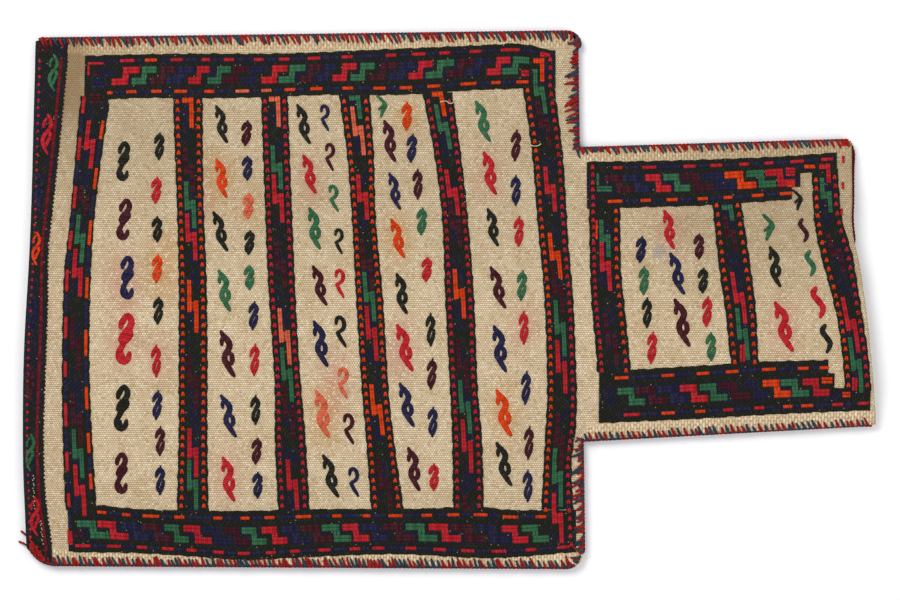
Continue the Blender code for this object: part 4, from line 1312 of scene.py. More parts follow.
SHORT_STRANDS = (
    ((-0.18, 0.08, 0.044), (-0.12, 0.22, 0.100), (-0.02, 0.35, 0.104), (0.08, 0.29, 0.108),
     (0.10, 0.18, 0.110), (0.02, 0.05, 0.104), (-0.05, -0.05, 0.084)),
    ((0.13, 0.02, 0.050), (0.11, -0.10, 0.080), (0.06, -0.24, 0.100), (-0.01, -0.38, 0.090),
     (-0.04, -0.51, 0.036)),
    ((-0.04, -0.02, 0.080), (-0.09, -0.14, 0.090), (-0.12, -0.27, 0.074), (-0.07, -0.40, 0.064)),
    ((-0.02, 0.34, 0.070), (0.03, 0.50, 0.028)),
)
THIN_STRANDS = (
    ((-0.13, 0.20, 0.044), (-0.10, 0.38, 0.072), (-0.02, 0.45, 0.062), (0.08, 0.36, 0.074),
     (0.11, 0.20, 0.074), (0.05, 0.06, 0.070), (-0.08, -0.03, 0.060), (-0.12, -0.09, 0.050)),
    ((-0.10, -0.01, 0.060), (-0.05, -0.14, 0.074), (0.02, -0.28, 0.070), (0.09, -0.40, 0.056),
     (0.13, -0.50, 0.036)),
)
LEAF_STRANDS = (
    ((0.0, 0.50, 0.032), (0.07, 0.36, 0.054), (0.09, 0.22, 0.058), (0.03, 0.09, 0.060),
     (-0.07, -0.04, 0.060), (-0.10, -0.18, 0.058), (-0.06, -0.33, 0.050), (0.03, -0.50, 0.030)),
    ((-0.01, 0.40, 0.036), (-0.08, 0.27, 0.048), (-0.08, 0.15, 0.042)),
    ((0.07, 0.06, 0.044), (0.07, -0.07, 0.054), (0.01, -0.20, 0.050), (-0.02, -0.32, 0.040)),
)
WAVE_STRANDS = (
    ((-0.03, 0.50, 0.070), (-0.14, 0.27, 0.105), (-0.01, 0.06, 0.105), (0.12, -0.14, 0.105),
     (0.10, -0.32, 0.090), (0.01, -0.50, 0.050)),
)
CHEVRON_STRANDS = (
    ((-0.20, 0.50, 0.060), (0.0, 0.30, 0.080), (0.17, 0.06, 0.095), (0.06, -0.20, 0.095),
     (-0.03, -0.50, 0.060)),
    ((0.10, 0.10, 0.050), (-0.02, -0.04, 0.060), (-0.13, -0.16, 0.050)),
)


def hooks(figures, table, strands, turn=0.0, rise=HOOK_RISE, slim=None):
    """Hooked figures in the pale fields: each strand is a smooth path about the figure's
    middle, as wide as its table says. Past the height slim, a taller figure is slimmer."""
    letters = np.array([row[0] for row in table])
    x, y, height = (MM * np.array([row[k] for row in table]) for k in (1, 2, 3))
    lean = HOOK_WOBBLE * np.sin(np.arange(len(table)) * 2.3) + turn
    broad = HOOK_SPREAD * height * (clamp(slim / height) ** SLIMMING if slim else 1.0)
    for strand in strands:
        strand = np.array(strand)
        count = max(int(len(strand) * HOOK_STATIONS), 10)
        unit = resample(strand[None, :, :2], count)[0]
        thick = np.interp(np.linspace(0, 1, count), np.linspace(0, 1, len(strand)), strand[:, 2])
        side = unit[None, :, 0] + lean[:, None] * unit[None, :, 1]
        spots = np.stack([x[:, None] + side * broad[:, None],
                          y[:, None] + unit[None, :, 1] * height[:, None]], -1)
        width = thick[None, :] * broad[:, None]
        figures.add(letters, spots, width, HOOK_HIGH, rise, pitch=HOOK_WRAP, end=HOOK_TIP)


# Sewn edges


def side_path(side):
    """A sewn edge in plan, from the fold to the mouth: its points, and how far along it each
    one is. It goes round the fold's corner, up the body, round the shoulder's corner, along
    the shoulder and up the neck."""
    radius = fold_round(side)
    half = abs(side_y(np.array(CORNER_REACH), side))
    start = float(fold_x(side * half)) + radius
    turn = np.linspace(FIRST_TURN[side] * math.pi, math.pi / 2, 12)
    corner = np.stack([start + radius * np.cos(turn),
                       side * (half - radius + radius * np.sin(turn))], -1)
    x = np.linspace(start + 0.002, BODY_LENGTH - SHOULDER_ROUND, 190)
    body = np.stack([x, side_y(x, side)], -1)
    end = body[-1]
    turn = np.linspace(math.pi / 2, 0, 9)[1:]
    round_off = np.stack([end[0] + SHOULDER_ROUND * np.cos(turn),
                          end[1] - side * SHOULDER_ROUND * (1 - np.sin(turn))], -1)
    root = float(neck_y(BODY_LENGTH, side))
    y = np.linspace(round_off[-1, 1], root, 36)[1:]
    shoulder = np.stack([shoulder_x(y), y], -1)
    x = np.linspace(shoulder_x(root), mouth_x(neck_y(BAG_LENGTH, side)), 100)[1:]
    neck = np.stack([x, neck_y(x, side)], -1)
    path = np.concatenate([corner, body, round_off, shoulder, neck])
    return path, run_along(path[None])[0]


def along_side(side, places):
    """Points, headings and inward directions of a sewn edge at distances along it."""
    path, run = side_path(side)

    def at(distances):
        held = np.clip(distances, run[0], run[-1])
        return np.stack([np.interp(held, run, path[:, k]) for k in (0, 1)], -1)

    places = np.clip(places, run[0], run[-1])
    ahead = at(places + HEADING_STEP) - at(places - HEADING_STEP)
    heading = ahead / (np.linalg.norm(ahead, axis=-1, keepdims=True) + 1e-12)
    return at(places), heading, side * np.stack([heading[..., 1], -heading[..., 0]], -1)


def tubes(centres, across, radius, section, ply=0.0, twist=0.0):
    """Round yarns carried along centre lines [yarn, station, XYZ]. across is a direction at
    each station that isn't along the yarn. The radius swells where ply strands twist round."""
    count, rows = centres.shape[:2]
    tangent = np.gradient(centres, axis=1)
    tangent /= np.linalg.norm(tangent, axis=-1, keepdims=True) + 1e-12
    normal = np.cross(tangent, np.broadcast_to(across, centres.shape))
    normal /= np.linalg.norm(normal, axis=-1, keepdims=True) + 1e-12
    other = np.cross(normal, tangent)
    run = run_along(centres)
    angle = np.linspace(0, 2 * math.pi, section, endpoint=False)
    shape = 1 + ply * np.cos(2 * angle[None, None, :] - twist * run[..., None])
    size = np.broadcast_to(radius, (count, rows))[..., None] * shape
    points = (centres[..., None, :] + normal[..., None, :] * (size * np.cos(angle))[..., None]
              + other[..., None, :] * (size * np.sin(angle))[..., None])
    quads = grid_quads(count, rows, section, closed=True)[:, ::-1]
    around = np.broadcast_to(angle[None, None, :] * MM, size.shape)
    uv = np.stack(np.broadcast_arrays(run[..., None], around), -1).reshape(-1, 2)
    seeds = np.broadcast_to(seed_of(count)[:, None, None], size.shape)
    return points.reshape(-1, 3), quads, uv, {"lane": seeds.reshape(-1)}


def plied(centres, radius):
    """Round yarn whose two plies show."""
    return tubes(centres, UP, radius, 10, YARN_PLY, YARN_TWIST)


def stitch_run(side, rng):
    """Where each stitch of a side starts, whether it is red, its leg and how far it strays."""
    last = side_path(side)[1][-1] - SIDE_END
    found = []
    place, red = SIDE_END, False
    while place < last:
        on_shoulder = SHOULDER_STITCHES[0] < place < SHOULDER_STITCHES[1]
        kind = "shoulder" if on_shoulder else "body" if place < BODY_LENGTH else "neck"
        low, high, step, power, stray = STITCH_KINDS[kind]
        leg = low + (high - low) * rng.random() ** power
        if kind == "body":
            leg *= UPPER_LEG if side > 0 else LOWER_LEG
        strayed = rng.uniform(-stray, stray)
        red = rng.random() < (RED_AFTER_RED if red else RED_AFTER_TEAL)
        found.append((place, red, leg, strayed))
        place += step * rng.uniform(0.75, 1.3)
    return [np.array(column) for column in zip(*found)]


def stitches(side, rng):
    """Overcast stitches down one side. Each goes in through the front a leg away from the
    edge, out over the rim and back under, and drifts along the edge as it goes."""
    places, red, legs, strays = stitch_run(side, rng)
    flat = np.array(STITCH_STATIONS)[None, :]
    away = np.abs(flat)
    lean = STITCH_LEAN * legs * (rng.uniform(0.6, 1.4, len(places)) + strays)
    spot, _, inward = along_side(side, places[:, None] - side * lean[:, None] * flat)
    yarn = STITCH_YARN * rng.uniform(0.85, 1.15, len(places))[:, None]
    inset = legs[:, None] * clamp((away - STITCH_TURN) / (1 - STITCH_TURN))
    bulge = STITCH_BULGE * np.cos(0.5 * math.pi * clamp(away / STITCH_TURN))
    plan_spot = spot + inward * (inset - bulge)[..., None]
    inner = spot + inward * np.maximum(inset, 0.0002)[..., None]
    x, y = inner[..., 0], inner[..., 1]
    over = top(x - SHIFT, y, 0.0) + 0.55 * yarn
    under = lift(x, y) - 0.20 * yarn
    share = 0.5 + 0.5 * np.sin(0.5 * math.pi * np.clip(-flat / STITCH_TURN, -1, 1))
    tuck = STITCH_TUCK * clamp((away - STITCH_ENDS) / (1 - STITCH_ENDS))
    z = under + (over - under) * share + tuck * np.sign(flat)
    centres = np.stack([plan_spot[..., 0] - SHIFT, plan_spot[..., 1], z], -1)
    _, heading, _ = along_side(side, places)
    across = np.concatenate([heading, np.zeros((len(places), 1))], -1)[:, None, :]
    radius = yarn * (1.0 - 0.50 * away ** 2.2)
    return {dye: tubes(centres[chosen], across[chosen], radius[chosen], STITCH_SECTION)
            for dye, chosen in (("red", red), ("teal", ~red))}


def rim(side, rng):
    """The yarn that the stitches hold along the very edge, red and teal in turns."""
    length = side_path(side)[1][-1]
    found = {"red": [], "teal": []}
    place, dye = 0.0, "red" if side > 0 else "teal"
    while place < length - 2 * SIDE_END:
        stop = min(place + rng.uniform(*RIM_RUNS[dye]), length)
        places = np.linspace(place - RIM_OVERLAP, stop + RIM_OVERLAP, 18)[None, :]
        spot, _, inward = along_side(side, places)
        inner = spot + inward * 0.0004
        x, y = inner[..., 0], inner[..., 1]
        z = 0.5 * (top(x - SHIFT, y, 0.0) + lift(x, y)) + RIM_HIGH
        outer = spot - inward * RIM_OUT
        centres = np.stack([outer[..., 0] - SHIFT, outer[..., 1], z], -1)
        found[dye].append(plied(centres, RIM_YARN))
        place, dye = stop, "teal" if dye == "red" else "red"
    return found


def yarn_ends():
    """Red sewing yarn that sticks out past the fold's lower corner, and the tangle it leaves.
    Where it lies on the bag it follows the cloth, and its height is smoothed along it."""
    parts = []
    for ends in LOOSE_ENDS:
        plan = resample(MM * np.array([[row[:2] for row in ends]]), LOOSE_STATIONS)
        place, knots = (np.linspace(0, 1, count) for count in (LOOSE_STATIONS, len(ends)))
        height = MM * np.interp(place, knots, [row[2] for row in ends])
        x, y = plan[..., 0], plan[..., 1]
        on_bag = x + SHIFT > fold_x(y) + 0.0012
        height = np.where(on_bag, top(x, y, BAND_RISE) + 0.4 * height, height)
        height = np.pad(height, ((0, 0), (2, 2)), mode="edge")
        height = sum(height[:, k:k + LOOSE_STATIONS] for k in range(5)) / 5
        centres = np.stack([x, y, height], -1)
        parts.append(tubes(centres, UP, LOOSE_YARN, 8, LOOSE_PLY, LOOSE_TWIST))
    return join(parts)


def stray_threads():
    """Two short white threads caught on the front."""
    parts = []
    for thread in STRAY_THREADS:
        plan = resample(MM * np.array([thread]), 16)
        centres = laid(plan[..., 0], plan[..., 1], BAND_RISE + 0.0009)
        parts.append(tubes(centres, UP, STRAY_YARN, 6))
    return join(parts)


def back_lip():
    """The dark red yarn that binds the back's lip, seen where the front's lip bows in."""
    y = np.linspace(float(neck_y(BAG_LENGTH, 1)) - 0.002, BACK_LIP_END, 60)[None, :]
    x = mouth_x(y) - back_lip_bow(y)
    return join([
        plied(np.stack([x - inset - SHIFT, y, lift(x, y) + BACK_LIP_HIGH], -1), BACK_LIP_YARN)
        for inset in BACK_LIP_YARNS_IN
    ])


# Materials


class Nodes:
    """Short ways to add and join shader nodes in one tree."""

    def __init__(self, tree):
        self.tree = tree

    def add(self, kind, **settings):
        node = self.tree.nodes.new(kind)
        for key, value in settings.items():
            setattr(node, key, value)
        return node

    def feed(self, value, socket):
        """Join a socket to another, or give it a plain value."""
        if isinstance(value, bpy.types.NodeSocket):
            self.tree.links.new(value, socket)
        else:
            socket.default_value = value

    def math(self, operation, *values):
        node = self.add("ShaderNodeMath", operation=operation)
        for value, socket in zip(values, node.inputs):
            self.feed(value, socket)
        return node.outputs[0]

    def mix(self, share, one, two):
        """One colour turned into another by a share."""
        node = self.add("ShaderNodeMix", data_type="RGBA")
        for value, socket in zip((share, one, two), (node.inputs[0], node.inputs[6], node.inputs[7])):
            if isinstance(value, tuple) and len(value) == 3:
                value = (*value, 1.0)
            self.feed(value, socket)
        return node.outputs[2]

    def remap(self, value, low, high, out_low=0.0, out_high=1.0):
        """A smooth step from one value to another as the input goes from low to high."""
        node = self.add("ShaderNodeMapRange", interpolation_type="SMOOTHSTEP")
        for item, socket in zip((value, low, high, out_low, out_high), node.inputs):
            self.feed(item, socket)
        return node.outputs[0]

    def noise(self, vector, scale, detail=2.0, roughness=0.5):
        node = self.add("ShaderNodeTexNoise")
        self.feed(vector, node.inputs["Vector"])
        node.inputs["Scale"].default_value = scale
        node.inputs["Detail"].default_value = detail
        node.inputs["Roughness"].default_value = roughness
        return node.outputs["Fac"]

    def random(self, x, y):
        """A value of its own for every pair of whole numbers."""
        node = self.add("ShaderNodeTexWhiteNoise", noise_dimensions="2D")
        self.feed(self.join(x, y), node.inputs["Vector"])
        return node.outputs["Value"]

    def split(self, vector):
        node = self.add("ShaderNodeSeparateXYZ")
        self.feed(vector, node.inputs[0])
        return node.outputs[0], node.outputs[1]

    def join(self, x, y):
        node = self.add("ShaderNodeCombineXYZ")
        self.feed(x, node.inputs[0])
        self.feed(y, node.inputs[1])
        return node.outputs[0]

    def blend(self, share, one, two):
        """One number turned into another by a share."""
        node = self.add("ShaderNodeMix", data_type="FLOAT")
        for value, socket in zip((share, one, two), (node.inputs[0], node.inputs[2], node.inputs[3])):
            self.feed(value, socket)
        return node.outputs[0]

    def group(self, tree, **values):
        node = self.add("ShaderNodeGroup", node_tree=tree)
        for key, value in values.items():
            self.feed(value, node.inputs[key.replace("_", " ")])
        return node.outputs


def new_group(name, inputs, outputs):
    """An empty shader group with named sockets; returns its tree, helper, ins and outs."""
    tree = bpy.data.node_groups.new(name, "ShaderNodeTree")
    for key, kind, value in inputs:
        socket = tree.interface.new_socket(key, in_out="INPUT", socket_type=kind)
        if value is not None:
            socket.default_value = value
    for key in outputs:
        tree.interface.new_socket(key, in_out="OUTPUT", socket_type="NodeSocketFloat")
    nodes = Nodes(tree)
    start = nodes.add("NodeGroupInput").outputs
    end = nodes.add("NodeGroupOutput").inputs
    return tree, nodes, start, end


def bead_group():
    """A brick-like field of rounded stitches: how high a place is on its stitch, and a value
    of that stitch's own. Width and Length are one stitch's, Slant leans it."""
    tree, n, ins, outs = new_group("Stitch Field", (
        ("Vector", "NodeSocketVector", None), ("Width", "NodeSocketFloat", 0.0015),
        ("Length", "NodeSocketFloat", 0.0015), ("Slant", "NodeSocketFloat", 0.0),
        ("Wander", "NodeSocketFloat", 0.0002),
    ), ("Height", "Own"))
    x, y = n.split(ins["Vector"])
    drift = n.math("SUBTRACT", n.noise(ins["Vector"], 260.0, 1.0), 0.5)
    drift_two = n.math("SUBTRACT", n.noise(ins["Vector"], 70.0, 1.0), 0.5)
    x = n.math("MULTIPLY_ADD", drift, ins["Wander"], x)
    y = n.math("MULTIPLY_ADD", drift_two, n.math("MULTIPLY", ins["Wander"], 4.0), y)
    x = n.math("MULTIPLY_ADD", y, ins["Slant"], x)
    u = n.math("DIVIDE", x, ins["Width"])
    v = n.math("DIVIDE", y, ins["Length"])
    row = n.math("FLOOR", u)
    v = n.math("MULTIPLY_ADD", n.math("PINGPONG", row, 1.0), 0.5, v)
    rise_u = n.math("SINE", n.math("MULTIPLY", n.math("FRACT", u), math.pi))
    rise_v = n.math("SINE", n.math("MULTIPLY", n.math("FRACT", v), math.pi))
    n.feed(n.math("POWER", n.math("MULTIPLY", rise_u, rise_v), 0.55), outs["Height"])
    n.feed(n.random(row, n.math("FLOOR", v)), outs["Own"])
    return tree


def fibre_group():
    """Wool fibre: fine streaks and fuzz for the relief, and a slow drift of shade."""
    tree, n, ins, outs = new_group("Wool Fibre", (("Vector", "NodeSocketVector", None),),
                                   ("Height", "Shade"))
    stretch = n.add("ShaderNodeMapping")
    n.feed(ins["Vector"], stretch.inputs["Vector"])
    stretch.inputs["Scale"].default_value = (1.0, 3.2, 1.0)
    streak = n.noise(stretch.outputs[0], 1500.0, 3.0, 0.65)
    fuzz = n.noise(ins["Vector"], 3800.0, 2.0, 0.6)
    n.feed(n.math("MULTIPLY_ADD", fuzz, 0.5, streak), outs["Height"])
    n.feed(n.noise(ins["Vector"], 55.0, 4.0, 0.6), outs["Shade"])
    return tree


def spot_group():
    """A soft-edged spot with an uneven rim, as dye that ran in a wash leaves."""
    tree, n, ins, outs = new_group("Soft Spot", (
        ("Vector", "NodeSocketVector", None), ("Across", "NodeSocketFloat", 0.0),
        ("Up", "NodeSocketFloat", 0.0), ("Wide", "NodeSocketFloat", 0.02),
        ("Tall", "NodeSocketFloat", 0.02), ("Strength", "NodeSocketFloat", 0.5),
        ("Before", "NodeSocketFloat", 0.0),
    ), ("Fac",))
    x, y = n.split(ins["Vector"])
    dx = n.math("DIVIDE", n.math("SUBTRACT", x, ins["Across"]), ins["Wide"])
    dy = n.math("DIVIDE", n.math("SUBTRACT", y, ins["Up"]), ins["Tall"])
    reach = n.math("SQRT", n.math("ADD", n.math("MULTIPLY", dx, dx), n.math("MULTIPLY", dy, dy)))
    ragged = n.math("MULTIPLY_ADD", n.noise(ins["Vector"], 95.0, 3.0), 0.9, reach)
    share = n.math("MULTIPLY", n.remap(ragged, 1.95, 0.60), ins["Strength"])
    n.feed(n.math("MAXIMUM", share, ins["Before"]), outs["Fac"])
    return tree


def wool(name, roughness=0.92):
    """A material whose shader is a Principled one for matt wool, and its node helper."""
    material = bpy.data.materials.new(name)
    material.use_nodes = True
    nodes = Nodes(material.node_tree)
    shader = material.node_tree.nodes["Principled BSDF"]
    shader.inputs["Roughness"].default_value = roughness
    shader.inputs["Specular IOR Level"].default_value = 0.06
    return material, nodes, shader


def finish_wool(n, shader, colour, height, distance):
    """Give a wool its colour, and its relief as a bump of a height in metres."""
    n.feed(colour, shader.inputs["Base Color"])
    bump = n.add("ShaderNodeBump")
    n.feed(height, bump.inputs["Height"])
    bump.inputs["Distance"].default_value = distance
    bump.inputs["Strength"].default_value = 1.0
    n.feed(bump.outputs[0], shader.inputs["Normal"])


def bag_uv(n):
    """Metres on the flat cloth, or along and across a yarn."""
    node = n.add("ShaderNodeUVMap")
    node.uv_map = "bag"
    return node.outputs[0]


def lane(n):
    """The value each mesh carries: comb on the cloth, figured lane on a band, a yarn's own."""
    node = n.add("ShaderNodeAttribute", attribute_name="lane")
    return node.outputs["Fac"]


def ground_wool(groups):
    """The pale plain weave: beads of weft with painted highlights and painted shade in their gaps,
    patches of tan, dye that ran, and painted shade over the upper side.
    """
    material, n, shader = wool("ground_wool")
    uv = bag_uv(n)
    x, y = n.split(uv)
    turned = n.join(y, x)
    bead = n.group(groups["bead"], Vector=turned, Width=BEAD_HIGH, Length=BEAD_LONG,
                   Wander=0.00025)
    comb = n.group(groups["bead"], Vector=uv, Width=COMB, Length=COMB_LONG, Wander=0.0004)
    fibre = n.group(groups["fibre"], Vector=uv)
    shade = n.remap(fibre["Shade"], 0.30, 0.72)
    base = n.mix(shade, CREAM_DEEP, CREAM)
    patch = n.remap(n.noise(uv, 24.0, 4.0, 0.6), 0.50, 0.72)
    base = n.mix(n.math("MULTIPLY", patch, 0.45), base, CREAM_TAN)
    base = n.mix(n.remap(x, 0.085, 0.125, 0.0, 0.17), base, CREAM_TAN)
    edge = n.math("MULTIPLY_ADD", n.noise(uv, 30.0, 2.0), 0.008, x)
    tan = n.math("MULTIPLY", n.remap(edge, -0.249, -0.257), n.remap(y, 0.095, 0.150, 0.14, 0.85))
    base = n.mix(tan, base, TAN_STRIP)
    worn = n.math("MULTIPLY", lane(n), n.remap(y, 0.0, 0.15, 0.0, 0.45))
    base = n.mix(worn, base, CREAM_TAN)
    for colour, places in STAINS:
        share = 0.0
        for across, up, wide, tall, strength in places:
            share = n.group(groups["spot"], Vector=uv, Across=MM * across, Up=MM * up, Wide=MM * wide,
                            Tall=MM * tall, Strength=strength, Before=share)["Fac"]
        base = n.mix(share, base, colour)
    own = bead["Own"]
    # Painted highlight: a share of the beads turned pale, less on the tan strip
    light = n.math("MULTIPLY", n.remap(own, 0.72, 1.0, 0.0, 0.55), n.math("SUBTRACT", 1.0, tan))
    base = n.mix(light, base, BEAD_HIGHLIGHT)
    base = n.mix(n.remap(own, 0.20, 0.0, 0.0, 0.55), base, BEAD_WARM)
    relief = n.blend(lane(n), bead["Height"], comb["Height"])
    # Painted shade in the low places between beads and between the comb's stitches
    base = n.mix(n.remap(relief, 0.80, 0.25, 0.0, 0.60), base, BEAD_GAP_SHADE)
    # Painted shade: the ground darkens towards its upper side, most near the fold and by the mouth
    shade_by_mouth = n.math("MULTIPLY", n.remap(x, 0.13, 0.19), n.remap(y, -0.03, 0.06, 0.0, 0.17))
    shade_by_fold = n.math("MULTIPLY", n.remap(x, -0.12, -0.22), n.remap(y, 0.06, 0.13, 0.0, 0.13))
    painted_shade = n.math("ADD", n.math("ADD", shade_by_mouth, shade_by_fold), n.remap(y, -0.02, 0.09, 0.0, 0.15))
    base = n.mix(painted_shade, base, PAINTED_UPPER_SHADE)
    height = n.math("MULTIPLY_ADD", fibre["Height"], 0.12, relief)
    finish_wool(n, shader, base, height, 0.0005)
    return material


def band_wool(groups):
    """The dark wrapped bands: long upright stitches with painted shade between them, navy in some
    lanes, and the pale warp just showing between stitches here and there."""
    material, n, shader = wool("band_wool", 0.88)
    uv = bag_uv(n)
    stitch = n.group(groups["bead"], Vector=uv, Width=0.0018, Length=0.0030, Slant=0.22,
                     Wander=0.0004)
    fibre = n.group(groups["fibre"], Vector=uv)
    blocks = n.remap(n.noise(uv, 60.0, 1.0), 0.46, 0.54)
    navy = n.math("MULTIPLY", n.math("MULTIPLY", blocks, lane(n)), 0.85)
    base = n.mix(navy, BAND_BLACK, BAND_NAVY)
    base = n.mix(n.remap(stitch["Own"], 0.60, 1.0, 0.0, 0.40), base, BAND_WORN)
    # Painted shade in the low places between stitches
    base = n.mix(n.remap(stitch["Height"], 0.70, 0.15, 0.0, 0.75), base, BAND_GAP_SHADE)
    speck = n.group(groups["bead"], Vector=uv, Width=0.0017, Length=0.0015, Wander=0.0006)
    shows = n.math("MULTIPLY", n.remap(speck["Own"], 0.978, 0.990),
                   n.remap(speck["Height"], 0.78, 0.95))
    base = n.mix(n.math("MULTIPLY", shows, 0.75), base, BAND_SPECK)
    height = n.math("MULTIPLY_ADD", fibre["Height"], 0.18, stitch["Height"])
    finish_wool(n, shader, base, height, 0.0005)
    return material


def yarn_wool(groups, name, colour, pitch=WRAP):
    """Dyed yarn that runs along its UV: each wrap has its own tone, with painted shade in the grooves
    between.
    """
    material, n, shader = wool(name, 0.86)
    uv = bag_uv(n)
    run, out = n.split(uv)
    fibre = n.group(groups["fibre"], Vector=uv)
    slanted = n.math("MULTIPLY_ADD", out, 0.35, run)
    turns = n.math("DIVIDE", slanted, pitch)
    wrap = n.math("SINE", n.math("MULTIPLY", n.math("FRACT", turns), math.pi))
    own = n.random(n.math("FLOOR", turns), n.math("MULTIPLY", lane(n), 97.0))
    paler = tuple(min(1.0, 1.25 * c + 0.008) for c in colour)
    deeper = tuple(0.62 * c for c in colour)
    base = n.mix(n.remap(own, 0.45, 1.0, 0.0, 0.8), colour, paler)
    base = n.mix(n.remap(own, 0.35, 0.0, 0.0, 0.7), base, deeper)
    base = n.mix(n.remap(fibre["Shade"], 0.56, 0.80, 0.0, YARN_FADE), base, FADED)
    # Painted shade in the grooves between wraps
    base = n.mix(n.remap(wrap, 0.62, 0.10, 0.0, YARN_GAP_SHADE), base, tuple(0.30 * c for c in colour))
    height = n.math("MULTIPLY_ADD", fibre["Height"], 0.20, wrap)
    finish_wool(n, shader, base, height, 0.00035)
    return material


# The scene


def dress(piece, material, slot_name, *replaced):
    """Give a piece its material, and say which nodes it stands in for; slot_name is not used."""
    piece.data.materials.append(material)
    if replaced:
        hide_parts(*replaced)
    return piece


def make_bands():
    """The dark bands, each group as one piece."""
    edges = band_edges()
    body = [
        long_band(-268.0, 89.5, *edges["low"], CROSS_LANES),
        long_band(-256.5, 75.0, *edges["top"], CROSS_LANES),
        strip(-148.0, 143.0, *edges["left"], "y", UPRIGHT_LANES),
        strip(-148.0, 154.0, *edges["right"], "y", UPRIGHT_LANES),
    ]
    stripes = [strip(-149.5, 145.5, *edges[f"stripe_{k}"], "y", UPRIGHT_LANES)
               for k in range(len(STRIPES))]
    low, high = edges["neck_low"][0], edges["neck_top"][0]
    neck = [
        long_band(105.5, 266.5, *edges["neck_low"], CROSS_LANES),
        long_band(266.0, 271.0, low, beside(low, NECK_FOOT_DEEP), CORNER_DEEP_LANES),
        long_band(270.5, 296.5, low, beside(low, NECK_FOOT), CORNER_LANES),
        long_band(97.0, 241.0, *edges["neck_top"], CROSS_LANES),
        long_band(240.5, 247.0, high, beside(high, -NECK_CORNER_DEEP), CORNER_DEEP_LANES),
        long_band(245.0, 273.0, high, beside(high, -NECK_CORNER), CORNER_LANES),
        strip(-51.0, 65.0, *edges["neck_left"], "y", UPRIGHT_LANES),
        strip(-46.0, 68.0, *edges["neck_stripe"], "y", UPRIGHT_LANES),
        strip(-64.0, 92.0, *edges["neck_right"], "y", UPRIGHT_LANES),
    ]
    return [new_mesh(name, *join(parts)) for name, parts in (
        ("body_frame_bands", body), ("body_stripes", stripes), ("neck_bands", neck))]


def make_figures(materials):
    """All that is worked in colour on the bag, as one piece for each colour."""
    figures = Figures()
    edges = band_edges()
    for name, table, slope in (
        ("top", BODY_TOP_STEPS, 1), ("low", BODY_LOW_STEPS, -1),
        ("neck_top", NECK_TOP_STEPS, -1), ("neck_low", NECK_LOW_STEPS, -1),
    ):
        cross_steps(figures, table, edges[name], slope)
    for name, letters, table, share, along in (
        ("top", "rorrrrrrrrrrrrr", BODY_TOP_OUTER, 0.14, "x"),
        ("top", "ooooossooooooooo", BODY_TOP_INNER, 0.85, "x"),
        ("low", "r", BODY_LOW_OUTER, 0.14, "x"),
        ("low", "o", BODY_LOW_INNER, 0.85, "x"),
        ("neck_top", "r", NECK_TOP_OUTER, 0.14, "x"),
        ("neck_top", "o", NECK_TOP_INNER, 0.85, "x"),
        ("neck_low", "roor", NECK_LOW_OUTER, 0.14, "x"),
        ("neck_low", "o", NECK_LOW_INNER, 0.85, "x"),
        ("left", "r", BODY_LEFT_OUTER, 0.13, "y"),
        ("left", "o", BODY_LEFT_INNER, 0.87, "y"),
    ):
        dash_lane(figures, letters, table, lane_y(*edges[name], share), along)
    stripes = [f"stripe_{k}" for k in range(len(STRIPES))]
    for name, table in zip(
        ("left", *stripes, "right", "neck_left", "neck_stripe", "neck_right"),
        (LEFT_STEPS, *STRIPE_STEPS, RIGHT_STEPS, *NECK_UPRIGHT_STEPS),
    ):
        upright_steps(figures, table, edges[name])
    for letter, name in zip("oror", stripes):
        for share in (0.145, 0.855):
            dots(figures, letter, 139, -145, lane_y(*edges[name], share))
    for letter, start, end, name, share, pitch in (
        ("o", 147, -148, "right", 0.14, DOT_PITCH),
        ("r", 169, -173, "right", 0.86, DOT_PITCH),
        ("r", 93, -50, "neck_left", 0.14, CLOSE_DOT_PITCH),
        ("o", 62, -50, "neck_left", 0.86, DOT_PITCH),
        ("o", 66, -44, "neck_stripe", 0.145, DOT_PITCH),
        ("o", 66, -44, "neck_stripe", 0.855, DOT_PITCH),
        ("o", 84, -60, "neck_right", 0.145, DOT_PITCH),
        ("r", 86, -60, "neck_right", 0.855, DOT_PITCH),
    ):
        dots(figures, letter, start, end, lane_y(*edges[name], share), pitch)
    hooks(figures, TAILED_HOOKS, TAILED_STRANDS, TAIL_LEAN)
    hooks(figures, DOUBLE_HOOKS, DOUBLE_STRANDS)
    hooks(figures, SHORT_HOOKS, SHORT_STRANDS, slim=SLIM_ABOVE)
    hooks(figures, THIN_HOOKS, THIN_STRANDS)
    hooks(figures, WAVES, WAVE_STRANDS)
    hooks(figures, CHEVRONS, CHEVRON_STRANDS)
    blocks(figures, BLOCKS)
    fold_figures(figures)
    return figures.make(materials)


def fold_band():
    """The dark band round the folded bottom, from just under it up to past the wine line. It
    is a grid from side to side by the table's rows, laid round the fold on the cloth."""
    line = edge_of(FOLD_LINE)
    t = np.array([share for share, _ in FOLD_ROWS])
    rise = BAND_RISE * np.array([height for _, height in FOLD_ROWS])
    ends = []
    for side in (-1, 1):
        corner = side * 0.5 * BODY_WIDTH
        along = (line(corner) + FOLD_EDGE + SHIFT) * t + fold_x(corner) * (1 - t)
        ends.append(side_y(along, side) - side * FOLD_SIDE_GAP)
    share = np.linspace(0, 1, FOLD_COLUMNS)[:, None]
    y = ends[0][None, :] * (1 - share) + ends[1][None, :] * share
    end = line(y) + FOLD_EDGE + waver(y, 0.7) + SHIFT - fold_x(y)
    reach = FOLD_UNDER + (end - FOLD_UNDER) * t[None, :]
    points = sheet_point(reach, y, CLOTH_THICKNESS + rise[None, :]).reshape(-1, 3)
    flat = np.stack([reach + fold_x(y) - SHIFT, y], -1).reshape(-1, 2)
    quads = facing_up(points, grid_quads(1, len(share), len(t)))
    tint = np.full(len(points), FOLD_TINT)
    return new_mesh("fold_band", points, quads, flat, {"lane": tint})


